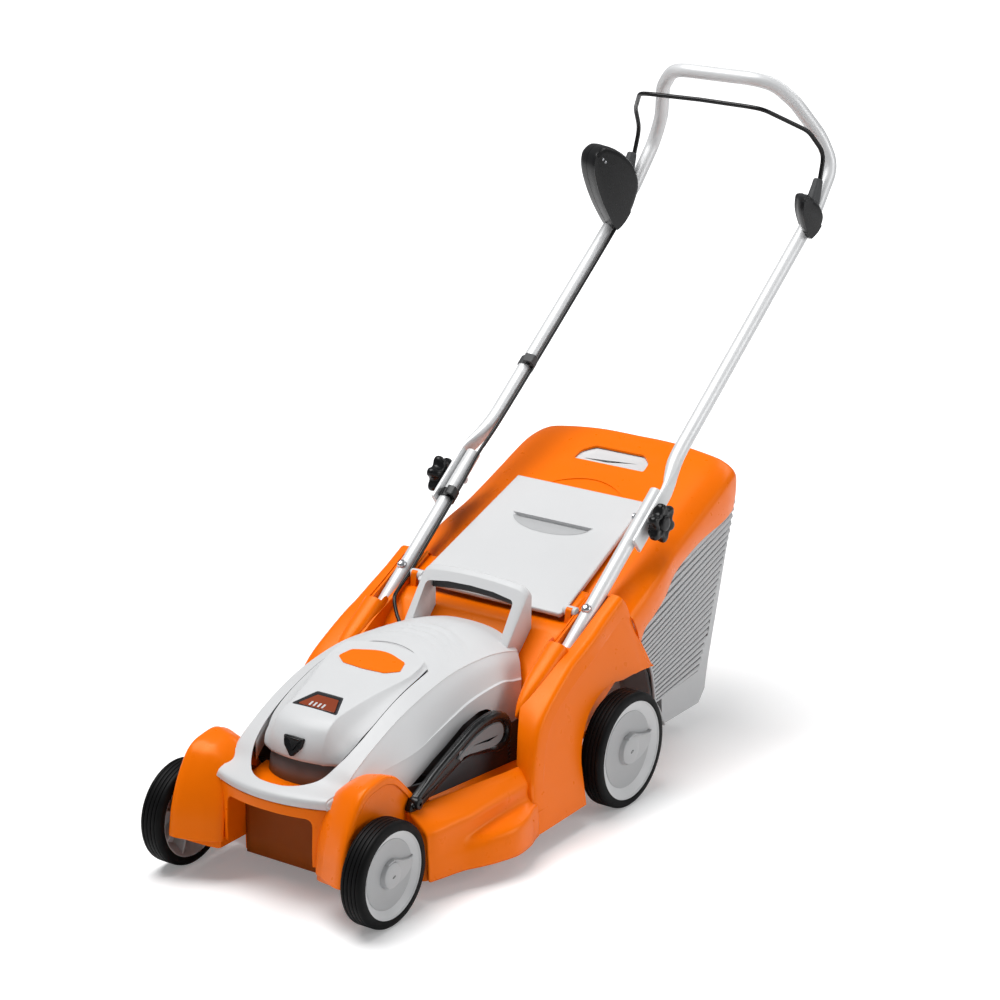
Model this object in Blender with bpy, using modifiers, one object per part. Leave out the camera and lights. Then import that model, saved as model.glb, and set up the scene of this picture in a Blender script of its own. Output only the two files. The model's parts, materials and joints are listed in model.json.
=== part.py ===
# Cordless lawn mower with a grass catcher, a fold-down handle and a height lever.
#
# Frame: metres, +Z up. The mower faces -Y, and +X is the operator's left.
# Z = 0 is the ground. Every Y below is measured from the rear wheels' axis,
# and the empty "mower" moves the whole machine so that the origin is mid-length.

import math

import bmesh
import bpy
from mathutils import Matrix, Vector

MM = 0.001
NAME = "cordless_lawn_mower"

# Clearances
GAP = 0.3 * MM
RUNNING_GAP = 0.4 * MM

# Wheels and axles
FRONT_WHEEL_RADIUS = 75 * MM
REAR_WHEEL_RADIUS = 87 * MM
WHEEL_WIDTH = 36 * MM
TYRE_DEPTH = 13.5 * MM
FRONT_TRACK_HALF = 192.5 * MM
REAR_TRACK_HALF = 243 * MM
WHEELBASE = 506 * MM
WHEEL_SEGMENTS = 24
AXLE_RADIUS = 6 * MM
CRANK_RISE = 20 * MM
CRANK_REACH = 48 * MM
FRONT_AXLE_BAR_HALF = 118 * MM
REAR_AXLE_BAR_HALF = 152 * MM

# Deck
WALL = 4 * MM
SKIRT_LOW = 30 * MM
SKIRT_STEP = 66 * MM
SKIRT_HALF = 190 * MM
SKIRT_REAR_HALF = 225 * MM
DECK_TOP = 98 * MM
DECK_ROOF = 6 * MM
SHOULDER_TOP = 126 * MM
DECK_REAR = -94 * MM
BAND_LOW = 85 * MM
BAND_TOP = 149.6 * MM
POD_INNER = 84 * MM
POD_OUTER = 150 * MM
FENDER_INNER = 148 * MM
FENDER_TOP_HALF = 200 * MM
FENDER_LOW_HALF = 226 * MM
WHEEL_WELL_GAP = 10 * MM
WHEEL_ROOM = 7 * MM
AXLE_ROOM = 14 * MM
HOOD_HALF = 150 * MM

# Blade and motor
BLADE_LENGTH = 320 * MM
BLADE_WIDTH = 46 * MM
BLADE_THICK = 4 * MM
BLADE_LOW = 44 * MM
BLADE_TIP_GAP = 12 * MM
SHAFT_RADIUS = 8 * MM
SHAFT_HOLE = 14 * MM
MOTOR_RADIUS = 60 * MM
MOTOR_HEIGHT = 82 * MM

# Housing, cover and battery
HOUSING_WALL = 3 * MM
HOUSING_LOW = 150 * MM
BASE_WALL = 5 * MM
COVER_WALL = 2.5 * MM
COVER_GAP = 0.8 * MM
SEAM = 3 * MM
BATTERY_HALF = 38 * MM
BATTERY_LENGTH = 92 * MM
BATTERY_HEIGHT = 70 * MM
BAY_WALL = 2.5 * MM
CARRY_HALF = 93 * MM

# Flap and catcher
SLOPE = math.radians(21.8)
FLAP_HINGE_Y = -4 * MM
FLAP_HINGE_Z = 282 * MM
FLAP_LENGTH = 250 * MM
FLAP_LOW_HALF = 130 * MM
FLAP_TOP_HALF = 116 * MM
FLAP_THICK = 3 * MM
PIN_RADIUS = 3 * MM
LID_WALL = 3.5 * MM
BASKET_TOP_HALF = 172 * MM
BASKET_LOW_HALF = 160 * MM
BASKET_WALL = 3 * MM
SLAT_COUNT = 20
SLAT_PITCH = 8 * MM
SLAT_SLOT = 3.2 * MM

# Handle
TUBE_RADIUS = 11 * MM
TUBE_WALL = 1.5 * MM
TUBE_X = 166 * MM
TUBE_SLOPE = math.radians(36.5)
TUBE_ENTRY_Y = -57 * MM
TUBE_ENTRY_Z = 241 * MM
TUBE_SUNK = 60 * MM
FOLD_ALONG = 246 * MM
TUBE_LENGTH = FOLD_ALONG + 51 * MM
FLAT_THICK = 7.2 * MM
FLAT_HEIGHT = 29 * MM
BOLT_RADIUS = 3 * MM
KNOB_RADIUS = 27 * MM
BAIL_RADIUS = 3.5 * MM
CABLE_RADIUS = 3.5 * MM

FRONT_AXLE_Y = -WHEELBASE
FRONT_PIVOT = (FRONT_AXLE_Y + CRANK_REACH, FRONT_WHEEL_RADIUS - CRANK_RISE)
REAR_PIVOT = (CRANK_REACH, REAR_WHEEL_RADIUS - CRANK_RISE)
FRONT_WHEEL_X = FRONT_TRACK_HALF - WHEEL_WIDTH / 2
REAR_WHEEL_X = REAR_TRACK_HALF - WHEEL_WIDTH / 2
DECK_FRONT = FRONT_AXLE_Y + 28 * MM
SKIRT_FRONT = FRONT_AXLE_Y + FRONT_WHEEL_RADIUS + WHEEL_ROOM
CHAMBER_RADIUS = BLADE_LENGTH / 2 + BLADE_TIP_GAP
BLADE_Y = FRONT_PIVOT[0] + AXLE_ROOM + WALL + CHAMBER_RADIUS
HOUSING_NOSE = FRONT_AXLE_Y - 37 * MM
HOUSING_REAR = -66 * MM
COVER_FRONT = FRONT_AXLE_Y + 28 * MM
COVER_REAR = -218.5 * MM
RACK_Y = -178 * MM
LEVER_PIVOT = (FRONT_AXLE_Y + 95 * MM, 137 * MM)
ORIGIN_SHIFT = -57.4 * MM

PARTS = bpy.data.collections.new(NAME)


# Basic tools

def clear_scene():
    for old in list(bpy.data.objects):
        bpy.data.objects.remove(old, do_unlink=True)
    bpy.context.scene.collection.children.link(PARTS)


def paint(name, colour, roughness, metallic=0.0):
    material = bpy.data.materials.new(name)
    material.use_nodes = True
    shader = material.node_tree.nodes["Principled BSDF"]
    shader.inputs["Base Color"].default_value = (*colour, 1.0)
    shader.inputs["Roughness"].default_value = roughness
    shader.inputs["Metallic"].default_value = metallic
    material.diffuse_color = (*colour, 1.0)
    return material


def new_object(name, data):
    thing = bpy.data.objects.new(name, data)
    PARTS.objects.link(thing)
    return thing


def remove(thing):
    bpy.data.objects.remove(thing, do_unlink=True)


def evaluated_mesh(thing):
    graph = bpy.context.evaluated_depsgraph_get()
    return bpy.data.meshes.new_from_object(thing.evaluated_get(graph), depsgraph=graph)


def bake(thing):
    mesh = evaluated_mesh(thing)
    thing.modifiers.clear()
    thing.data = mesh
    return thing


def tidy(mesh, matrix=None):
    form = bmesh.new()
    form.from_mesh(mesh)
    if matrix is not None:
        bmesh.ops.transform(form, matrix=matrix, verts=form.verts)
    bmesh.ops.remove_doubles(form, verts=form.verts, dist=0.00001)
    bmesh.ops.recalc_face_normals(form, faces=form.faces)
    form.to_mesh(mesh)
    form.free()


def as_mesh(thing, matrix=None):
    name = thing.name
    mesh = evaluated_mesh(thing)
    remove(thing)
    tidy(mesh, matrix)
    return new_object(name, mesh)


def measured(mesh):
    # The mesh's volume, or nothing if it isn't closed.
    form = bmesh.new()
    form.from_mesh(mesh)
    closed = len(form.faces) > 3 and all(edge.is_manifold for edge in form.edges)
    volume = form.calc_volume() if closed else 0.0
    form.free()
    return volume


def combine(target, tool, operation, keep=False):
    # The exact solver, and the manifold one where the exact one leaves an open or empty body.
    start = target.data
    whole = measured(start)
    least = 0.0 if operation == 'INTERSECT' else 0.1 * whole
    most = math.inf if operation == 'UNION' else 1.001 * whole
    for solver in ('EXACT', 'MANIFOLD'):
        target.data = start
        modifier = target.modifiers.new(operation, 'BOOLEAN')
        modifier.operation = operation
        modifier.solver = solver
        modifier.object = tool
        bake(target)
        if least < measured(target.data) < most:
            break
    if not keep:
        remove(tool)
    return target


def join(target, *tools):
    for tool in tools:
        combine(target, tool, 'UNION')
    return target


def cut(target, *tools):
    for tool in tools:
        combine(target, tool, 'DIFFERENCE')
    return target


def overlap(target, tool):
    return combine(target, tool, 'INTERSECT')


def bevel(thing, width, segments=2, angle=40):
    modifier = thing.modifiers.new("bevel", 'BEVEL')
    modifier.width = width
    modifier.segments = segments
    modifier.limit_method = 'ANGLE'
    modifier.angle_limit = math.radians(angle)
    return bake(thing)


def mirror(thing, bisect=False):
    modifier = thing.modifiers.new("mirror", 'MIRROR')
    modifier.use_bisect_axis[0] = bisect
    modifier.merge_threshold = 0.00001
    return bake(thing)


def mirrored_copy(thing, name):
    copy = new_object(name, thing.data.copy())
    tidy(copy.data, Matrix.Scale(-1, 4, Vector((1, 0, 0))))
    return copy


def shift(thing, x=0.0, y=0.0, z=0.0):
    thing.data.transform(Matrix.Translation((x, y, z)))
    return thing


def turn(thing, angle, axis, centre=(0, 0, 0)):
    centre = Vector(centre)
    matrix = Matrix.Translation(centre) @ Matrix.Rotation(angle, 4, axis) @ Matrix.Translation(-centre)
    thing.data.transform(matrix)
    return thing


# Outlines

def rounded(corners, steps=3):
    points = []
    for i, corner in enumerate(corners):
        here = Vector(corner[:2])
        radius = corner[2] if len(corner) > 2 else 0
        if not radius:
            points.append(here)
            continue
        before = (Vector(corners[i - 1][:2]) - here).normalized()
        after = (Vector(corners[(i + 1) % len(corners)][:2]) - here).normalized()
        half = before.angle(after) / 2
        centre = here + (before + after).normalized() * radius / math.sin(half)
        start = here + before * radius / math.tan(half) - centre
        end = here + after * radius / math.tan(half) - centre
        sweep = math.atan2(start.x * end.y - start.y * end.x, start.dot(end))
        for k in range(steps + 1):
            points.append(centre + Matrix.Rotation(sweep * k / steps, 2) @ start)
    return points


def inset(outline, distance):
    points = [Vector(p[:2]) for p in outline]
    area = sum(a.x * b.y - b.x * a.y for a, b in zip(points, points[1:] + points[:1]))
    side = distance if area > 0 else -distance
    result = []
    for i, here in enumerate(points):
        first = (here - points[i - 1]).normalized()
        second = (points[(i + 1) % len(points)] - here).normalized()
        normal = Vector((-first.y - second.y, first.x + second.x)).normalized()
        result.append(here + normal * side / max(0.3, normal.dot(Vector((-first.y, first.x)))))
    return result


def circle(radius, count, centre=(0, 0)):
    return [Vector((centre[0] + radius * math.cos(2 * math.pi * (k + 0.5) / count),
                    centre[1] + radius * math.sin(2 * math.pi * (k + 0.5) / count)))
            for k in range(count)]


# Solids

PLACING = {
    'X': Matrix(((0, 0, 1, 0), (1, 0, 0, 0), (0, 1, 0, 0), (0, 0, 0, 1))),
    'Y': Matrix(((1, 0, 0, 0), (0, 0, 1, 0), (0, 1, 0, 0), (0, 0, 0, 1))),
    'Z': Matrix.Identity(4),
}


def slab(name, outline, axis, low, high):
    # The outline is (y, z) for X, (x, z) for Y and (x, y) for Z.
    curve = bpy.data.curves.new(name, 'CURVE')
    curve.dimensions = '2D'
    curve.fill_mode = 'BOTH'
    curve.extrude = (high - low) / 2
    spline = curve.splines.new('POLY')
    spline.points.add(len(outline) - 1)
    for point, place in zip(spline.points, outline):
        point.co = (place[0], place[1], 0, 1)
    spline.use_cyclic_u = True
    lift = Matrix.Translation((0, 0, (low + high) / 2))
    return as_mesh(new_object(name, curve), PLACING[axis] @ lift)


def block(name, low, high):
    outline = [(low[0], low[1]), (high[0], low[1]), (high[0], high[1]), (low[0], high[1])]
    return slab(name, outline, 'Z', low[2], high[2])


def turned(name, profile, steps, axis='Z', closed=False):
    mesh = bpy.data.meshes.new(name)
    edges = [(k, k + 1) for k in range(len(profile) - 1)]
    if closed:
        edges.append((len(profile) - 1, 0))
    mesh.from_pydata([(radius, 0, height) for radius, height in profile], edges, [])
    thing = new_object(name, mesh)
    modifier = thing.modifiers.new("turn", 'SCREW')
    modifier.steps = steps
    modifier.render_steps = steps
    modifier.use_merge_vertices = True
    modifier.merge_threshold = 0.00001
    half_step = Matrix.Rotation(math.pi / steps, 4, 'Z')
    matrix = half_step if axis == 'Z' else Matrix.Rotation(math.pi / 2, 4, 'Y') @ half_step
    return as_mesh(thing, matrix)


def rod(name, start, end, radius, sides=12):
    start = Vector(start)
    along = Vector(end) - start
    thing = turned(name, [(0, along.length), (radius, along.length), (radius, 0), (0, 0)], sides)
    thing.data.transform(along.to_track_quat('Z', 'Y').to_matrix().to_4x4())
    return shift(thing, *start)


def tube(name, points, radius, resolution=2, cyclic=False):
    curve = bpy.data.curves.new(name, 'CURVE')
    curve.dimensions = '3D'
    curve.bevel_depth = radius
    curve.bevel_resolution = resolution
    curve.use_fill_caps = not cyclic
    spline = curve.splines.new('POLY')
    spline.points.add(len(points) - 1)
    for point, place in zip(spline.points, points):
        point.co = (*place, 1)
    spline.use_cyclic_u = cyclic
    return as_mesh(new_object(name, curve))


def fillet_path(points, radius, steps=3):
    path = [Vector(points[0])]
    for before, here, after in zip(points, points[1:], points[2:]):
        here = Vector(here)
        back = (Vector(before) - here).normalized()
        ahead = (Vector(after) - here).normalized()
        half = back.angle(ahead) / 2
        centre = here + (back + ahead).normalized() * radius / math.sin(half)
        start = here + back * radius / math.tan(half) - centre
        end = here + ahead * radius / math.tan(half) - centre
        axis = start.cross(end).normalized()
        sweep = start.angle(end)
        for k in range(steps + 1):
            path.append(centre + Matrix.Rotation(sweep * k / steps, 3, axis) @ start)
    path.append(Vector(points[-1]))
    return path


def smooth_path(points, per_span=4):
    # A Catmull-Rom curve through the route's own points.
    route = [Vector(p) for p in points]
    route = [route[0] * 2 - route[1]] + route + [route[-1] * 2 - route[-2]]
    path = []
    for a, b, c, d in zip(route, route[1:], route[2:], route[3:]):
        for k in range(per_span):
            t = k / per_span
            path.append(0.5 * (2 * b + (c - a) * t + (2 * a - 5 * b + 4 * c - d) * t ** 2
                               + (3 * b - a - 3 * c + d) * t ** 3))
    return path + [route[-2]]


def loft(name, rings, capped=True):
    # Rings of equal length, joined side by side: a form whose section changes.
    form = bmesh.new()
    rows = [[form.verts.new(point) for point in ring] for ring in rings]
    for row, following in zip(rows, rows[1:]):
        for k in range(len(row)):
            nxt = (k + 1) % len(row)
            form.faces.new((row[k], row[nxt], following[nxt], following[k]))
    if capped:
        form.faces.new(rows[0])
        form.faces.new(rows[-1])
    mesh = bpy.data.meshes.new(name)
    form.to_mesh(mesh)
    form.free()
    tidy(mesh)
    return new_object(name, mesh)


def cushion(name, outline, axis, low, high, edge, steps=2, ends=(True, True)):
    # A slab whose flat ends are rounded off by insetting its outline.
    stages = []
    for k in range(steps + 1):
        angle = math.pi / 2 * k / steps
        stages.append((edge * (1 - math.sin(angle)), edge * (1 - math.cos(angle))))
    first = stages if ends[0] else [(0, 0)]
    last = list(reversed(stages)) if ends[1] else [(0, 0)]
    rings = []
    for inward, rise in first:
        rings.append([(*point, low + rise) for point in (inset(outline, inward) if inward else outline)])
    for inward, rise in last:
        rings.append([(*point, high - rise) for point in (inset(outline, inward) if inward else outline)])
    thing = loft(name, rings)
    tidy(thing.data, PLACING[axis])
    return thing


def skin(name, rows, thickness, lift=0.0):
    # Half of a symmetric shell, open at X = 0: rows of points, mirrored, then given its wall.
    form = bmesh.new()
    grid = [[form.verts.new(point) for point in row] for row in rows]
    for row, following in zip(grid, grid[1:]):
        for k in range(len(row) - 1):
            corners = (row[k], row[k + 1], following[k + 1], following[k])
            form.faces.new(corners)
    form.normal_update()
    if sum(face.normal.z * face.calc_area() for face in form.faces) < 0:
        bmesh.ops.reverse_faces(form, faces=form.faces)
    form.normal_update()
    if lift:
        for place, vertex in [(v.co + v.normal * lift, v) for v in form.verts]:
            vertex.co = (0 if abs(vertex.co.x) < 1e-7 else place.x, place.y, place.z)
    mesh = bpy.data.meshes.new(name)
    form.to_mesh(mesh)
    form.free()
    thing = mirror(new_object(name, mesh))
    wall = thing.modifiers.new("wall", 'SOLIDIFY')
    wall.thickness = thickness
    wall.offset = -1
    bake(thing)
    tidy(thing.data)
    return thing


def pivot(name, place=(0, 0, 0), parent=None):
    # An empty on a joint's axis. It carries its place in the frame of the dimensions.
    empty = bpy.data.objects.new(name, None)
    PARTS.objects.link(empty)
    empty.empty_display_size = 0.03
    if parent is not None:
        empty.parent = parent
        empty.location = Vector(place) - Vector(parent["place"])
    empty["place"] = tuple(place)
    return empty


def attach(thing, material, parent, smooth=35):
    thing.data.materials.clear()
    thing.data.materials.append(material)
    thing.data.shade_smooth()
    thing.data.set_sharp_from_angle(angle=math.radians(smooth))
    thing.parent = parent
    thing.location = -Vector(parent["place"])
    return thing


def mm(*points):
    return [tuple(value * MM for value in point) for point in points]


def fore(*points):
    # (y, z) with y counted from the front wheels' axis.
    return [(point[0] + FRONT_AXLE_Y, *point[1:]) for point in mm(*points)]


def fore_plan(*points):
    # (x, y) with y counted from the front wheels' axis.
    return [(point[0], point[1] + FRONT_AXLE_Y, *point[2:]) for point in mm(*points)]


def spread(share, start, end):
    return start + share * (end - start)


def along_tube(thing):
    # From a frame with Y along the lower tube and Z normal to it, starting at its socket.
    matrix = Matrix.Translation((0, TUBE_ENTRY_Y, TUBE_ENTRY_Z)) @ Matrix.Rotation(TUBE_SLOPE, 4, 'X')
    thing.data.transform(matrix)
    return thing


def tube_point(x, along, normal=0.0):
    place = Matrix.Rotation(TUBE_SLOPE, 3, 'X') @ Vector((0, along, normal))
    return Vector((x, TUBE_ENTRY_Y + place.y, TUBE_ENTRY_Z + place.z))


# Wheels

def make_wheel(place, radius, body, side, colours):
    # Everything is turned about the wheel's own axis; the outer face looks to +X.
    half = WHEEL_WIDTH / 2
    true = 1 / math.cos(math.pi / WHEEL_SEGMENTS)
    seat = radius - TYRE_DEPTH
    tread = [(radius - 4 * MM, half), (radius, half - 4 * MM)]
    for groove in (9 * MM, 0, -9 * MM):
        tread += [(radius, groove + 2 * MM), (radius - 2.5 * MM, groove), (radius, groove - 2 * MM)]
    tread += [(radius, 4 * MM - half), (radius - 4 * MM, -half), (seat, -half), (seat, half)]
    rim = seat - GAP
    bore = AXLE_RADIUS + RUNNING_GAP
    face = half - MM
    web = half - 9 * MM
    disc = [(rim, face), (rim - 5 * MM, face), (rim - 9 * MM, web), (25 * MM, web),
            (22 * MM, half - 4 * MM), (bore, half - 4 * MM), (bore, 4 * MM - half),
            (16 * MM, 4 * MM - half), (20 * MM, web - 5 * MM), (rim - 10 * MM, web - 5 * MM),
            (rim - 5 * MM, -face), (rim, -face)]
    tyre = turned(place + "_tyre", [(r * true, w) for r, w in tread], WHEEL_SEGMENTS, 'X', True)
    wheel = turned(place + "_wheel", [(r * true, w) for r, w in disc], WHEEL_SEGMENTS, 'X', True)
    foot = half - 4 * MM + GAP
    cap = turned(place + "_cap", [(0, foot + 4.5 * MM), (12 * MM, foot + 4 * MM),
                                  (19 * MM, foot + 2 * MM), (21 * MM, foot), (0, foot)], 20, 'X')
    tail = rounded(mm((8, -14, 2), (20, -12, 2), (17, -26, 2), (5, -30, 4)))
    join(cap, slab("tail", tail, 'X', foot, foot + 2.5 * MM))
    names = ((tyre, "rubber"), (wheel, "rim"), (cap, "cap"))
    for piece, colour in names:
        if side < 0:
            tidy(piece.data, Matrix.Scale(-1, 4, Vector((1, 0, 0))))
        shift(piece, *body["place"])
        attach(piece, colours[colour], body)


def make_axle(name, centre, bar_half, stub_start, stub_end, material, body):
    # A cranked bar: the bar turns in its brackets and carries the wheels on its stubs.
    wheel = (centre[0] - CRANK_REACH, centre[1] + CRANK_RISE)
    half = [(stub_end, *wheel), (stub_start, *wheel), (bar_half, *centre)]
    points = half + [(-x, y, z) for x, y, z in reversed(half)]
    path = fillet_path(points, 12 * MM, 3)
    attach(tube(name, path, AXLE_RADIUS), material, body)


def axle_brackets():
    # Snap-in bearings under the deck: each hole is open below by a slot narrower than the bar.
    hole = AXLE_RADIUS + RUNNING_GAP
    y, z = FRONT_PIVOT
    low = z - 10 * MM
    high = DECK_TOP - DECK_ROOF + 2 * MM
    outline = rounded([(y - 14 * MM, high), (y - 10 * MM, low, 3 * MM),
                       (y + 10 * MM, low, 3 * MM), (y + 12 * MM, high)])
    front = slab("front_bracket", outline, 'X', 60 * MM, 76 * MM)
    place = (y, z, low)
    y, z = REAR_PIVOT
    low = z - 10 * MM
    outline = rounded([(y - 18 * MM, floor_under(y - 18 * MM)), (y + 18 * MM, floor_under(y + 18 * MM)),
                       (y + 10 * MM, low, 3 * MM), (y - 10 * MM, low, 3 * MM)])
    rear = slab("rear_bracket", outline, 'X', 112 * MM, 128 * MM)
    for piece, (y, z, low) in ((front, place), (rear, (y, z, low))):
        slot = hole - 0.8 * MM
        cut(piece, slab("hole", circle(hole, 16, (y, z)), 'X', 40 * MM, 140 * MM),
            block("slot", (40 * MM, y - slot, low - 5 * MM), (140 * MM, y + slot, z)))
    return front, rear


def floor_under(y):
    # The outer underside of the discharge tunnel.
    return 45 * MM + (y + 72 * MM) * 0.5728


# Motor housing

HOUSING = (
    # share of the way to the nose, centre z, crease x, crease z, step x, step z, low x, low z, sweep
    (0.994, 150, 92, 150, 95, 150, 98, 150, 22),
    (1.0, 160, 93, 160, 97, 156, 100, 150, 22),
    (0.981, 167, 94, 166, 100, 159, 103, 150, 20),
    (0.91, 177, 98, 171, 106, 162, 112, 150, 12),
    (0.849, 196, 100, 189, 113, 172, 122, 150, 5),
    (0.763, 219, 102, 210, 121, 182, 132, 150, 0),
    (0.646, 247, 103, 233, 130, 190, 138, 150, 0),
    (0.518, 268, 103, 249, 128, 202, 139, 150, 0),
    (0.361, 281, 101, 258, 126, 217, 138, 150, 0),
    (0.201, 279, 98, 254, 125, 220, 136, 150, -3),
    (0.092, 272, 98, 247, 124, 212, 134, 150, -26),
    (0.0, 259, 100, 238, 124, 208, 133, 150, -58),
)


def housing_rows():
    rows = []
    for share, z, crease, crease_z, step, step_z, low, low_z, sweep in HOUSING:
        y = spread(share, HOUSING_REAR, HOUSING_NOSE) / MM
        drop = z - crease_z
        points = [(0, z), (0.42 * crease, z - 0.12 * drop), (0.78 * crease, z - 0.5 * drop),
                  (crease, crease_z), (step, step_z), (low, low_z)]
        power = 2 if sweep > 0 else 4
        rows.append([Vector((x, y + sweep * (x / low) ** power, h)) * MM for x, h in points])
    return rows


def housing_hull(grow):
    # The space that the housing takes, as one solid with its underside at the housing's edge.
    return grown_hull(housing_rows()[1:], grow)


def grown_hull(rows, grow):
    rings = [[Vector((-p.x, p.y, p.z)) for p in reversed(row[1:])] + row for row in rows]
    hull = loft("hull", rings)
    form = bmesh.new()
    form.from_mesh(hull.data)
    form.normal_update()
    for place, vertex in [(v.co + v.normal * grow, v) for v in form.verts]:
        vertex.co = place
    form.to_mesh(hull.data)
    form.free()
    return hull


COVER = (
    # share of the way to the front, half-width and height of the top's edge and of the side's edge, sweep
    (1.0, 54, 164, 59, 164, 0),
    (0.942, 51, 199, 60, 180, 0),
    (0.869, 46, 228, 60, 190, 0),
    (0.834, 44, 237, 60, 196, 0),
    (0.792, 44, 241, 61, 202, 0),
    (0.699, 46, 246, 62, 215, 0),
    (0.507, 56, 257, 64, 236, 0),
    (0.314, 66, 267, 70, 252, 0),
    (0.141, 70, 273, 77, 262, -4),
    (0.0, 70, 276, 78, 266, -24),
)


def cover_rows():
    rows = []
    for share, top, top_z, edge, edge_z, sweep in COVER:
        y = spread(share, COVER_REAR, COVER_FRONT) / MM
        crown = 0 if share == 1 else 2
        points = [(0, top_z + crown), (0.6 * top, top_z + 0.8 * crown), (top, top_z), (edge, edge_z)]
        rows.append([Vector((x, y + sweep * (x / edge) ** 2, h)) * MM for x, h in points])
    return rows


def cover_plan(grow, front, rear):
    # Half-widths of the cover in plan, grown by a clearance, with the curved rear seam.
    side = [(69 * MM, front)]
    for share, top, top_z, edge, edge_z, sweep in COVER[3:-1]:
        wide = edge * MM + grow
        side.append((max(wide, 69 * MM) if share > 0.69 else wide,
                     spread(share, COVER_REAR, COVER_FRONT) + sweep * MM))
    arc = [(x, rear - 24 * MM * (x / (78 * MM)) ** 2) for x in (78 * MM + grow, 66 * MM, 50 * MM, 32 * MM, 15 * MM)]
    half = side + arc + [(0, rear)]
    return half + [(-x, y) for x, y in reversed(half[:-1])]


def beside_lever(*points):
    # The first value is a share of the way from the lever's pivot to its rack, the second a height.
    return [(spread(point[0], LEVER_PIVOT[0], RACK_Y), *(v * MM for v in point[1:])) for point in points]


def make_housing(material, body):
    housing = skin("motor_housing", housing_rows(), HOUSING_WALL)
    opening = cover_plan(COVER_GAP, FRONT_AXLE_Y + 4 * MM, COVER_REAR + SEAM)
    cut(housing, slab("opening", opening, 'Z', 155 * MM, 320 * MM))
    recess = beside_lever((-0.056, 140), (0.176, 154), (0.288, 168), (0.442, 177), (0.609, 192),
                          (0.755, 198), (0.884, 196), (0.991, 178), (1.077, 140))
    cut(housing, slab("lever_recess", recess, 'X', 60 * MM, 180 * MM))
    cut(housing, block("below", (-200 * MM, -600 * MM, 100 * MM), (200 * MM, 0, HOUSING_LOW)))
    attach(housing, material, body)


def make_base(material, body):
    # A dark open frame between the deck's roof and the housing's edge.
    plan = fore_plan((0, 70), (112, 70), (124, 82), (147, 134)) + mm((147, -128), (143, -124), (0, -124))
    plan = plan + [(-x, y) for x, y in reversed(plan[1:-1])]
    base = slab("motor_base", plan, 'Z', DECK_TOP + GAP, HOUSING_LOW - GAP)
    cut(base, slab("inside", inset(plan, BASE_WALL), 'Z', DECK_TOP - 10 * MM, HOUSING_LOW + 10 * MM))
    # A raised panel closes the housing behind the lever.
    front, rear = LEVER_PIVOT[0] + 59 * MM, RACK_Y + 10 * MM
    panel = [(front, 110 * MM), (front, 160 * MM), (front + 52 * MM, 196 * MM),
             (rear - 22 * MM, 203 * MM), (rear, 175 * MM), (rear, 110 * MM)]
    join(base, slab("panel", panel, 'X', 104 * MM, 108 * MM))
    for start in (front, rear - 6 * MM):
        join(base, block("brace", (106 * MM, start, 110 * MM), (145 * MM, start + 6 * MM, 148 * MM)))
    attach(base, material, body)


def make_carry_handle(material, body):
    # A moulded hoop on the housing's rear, cut to the housing's own curve underneath.
    side = rounded(mm((-122, 225), (-45, 318, 4), (-24, 318, 5), (-20, 300, 5), (-31, 298, 6), (-84, 222)))
    hoop = slab("carry_handle", side, 'X', -CARRY_HALF, CARRY_HALF)
    front = rounded(mm((-93, 200), (93, 200), (93, 314, 16), (0, 321, 120), (-93, 314, 16)))
    overlap(hoop, slab("front_view", front, 'Y', -140 * MM, 0))
    gap = CARRY_HALF - 17 * MM
    inside = rounded([(-gap, 190 * MM), (gap, 190 * MM), (gap, 300 * MM, 10 * MM), (-gap, 300 * MM, 10 * MM)])
    cut(hoop, slab("opening", inside, 'Y', -160 * MM, 20 * MM))
    rows = housing_rows()
    rows.append([point + Vector((0, 0.4 * MM, 0)) for point in rows[-1]])
    cut(hoop, grown_hull(rows[1:], GAP), skin("rim", rows, HOUSING_WALL + 2 * GAP, GAP))
    attach(hoop, material, body)


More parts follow.
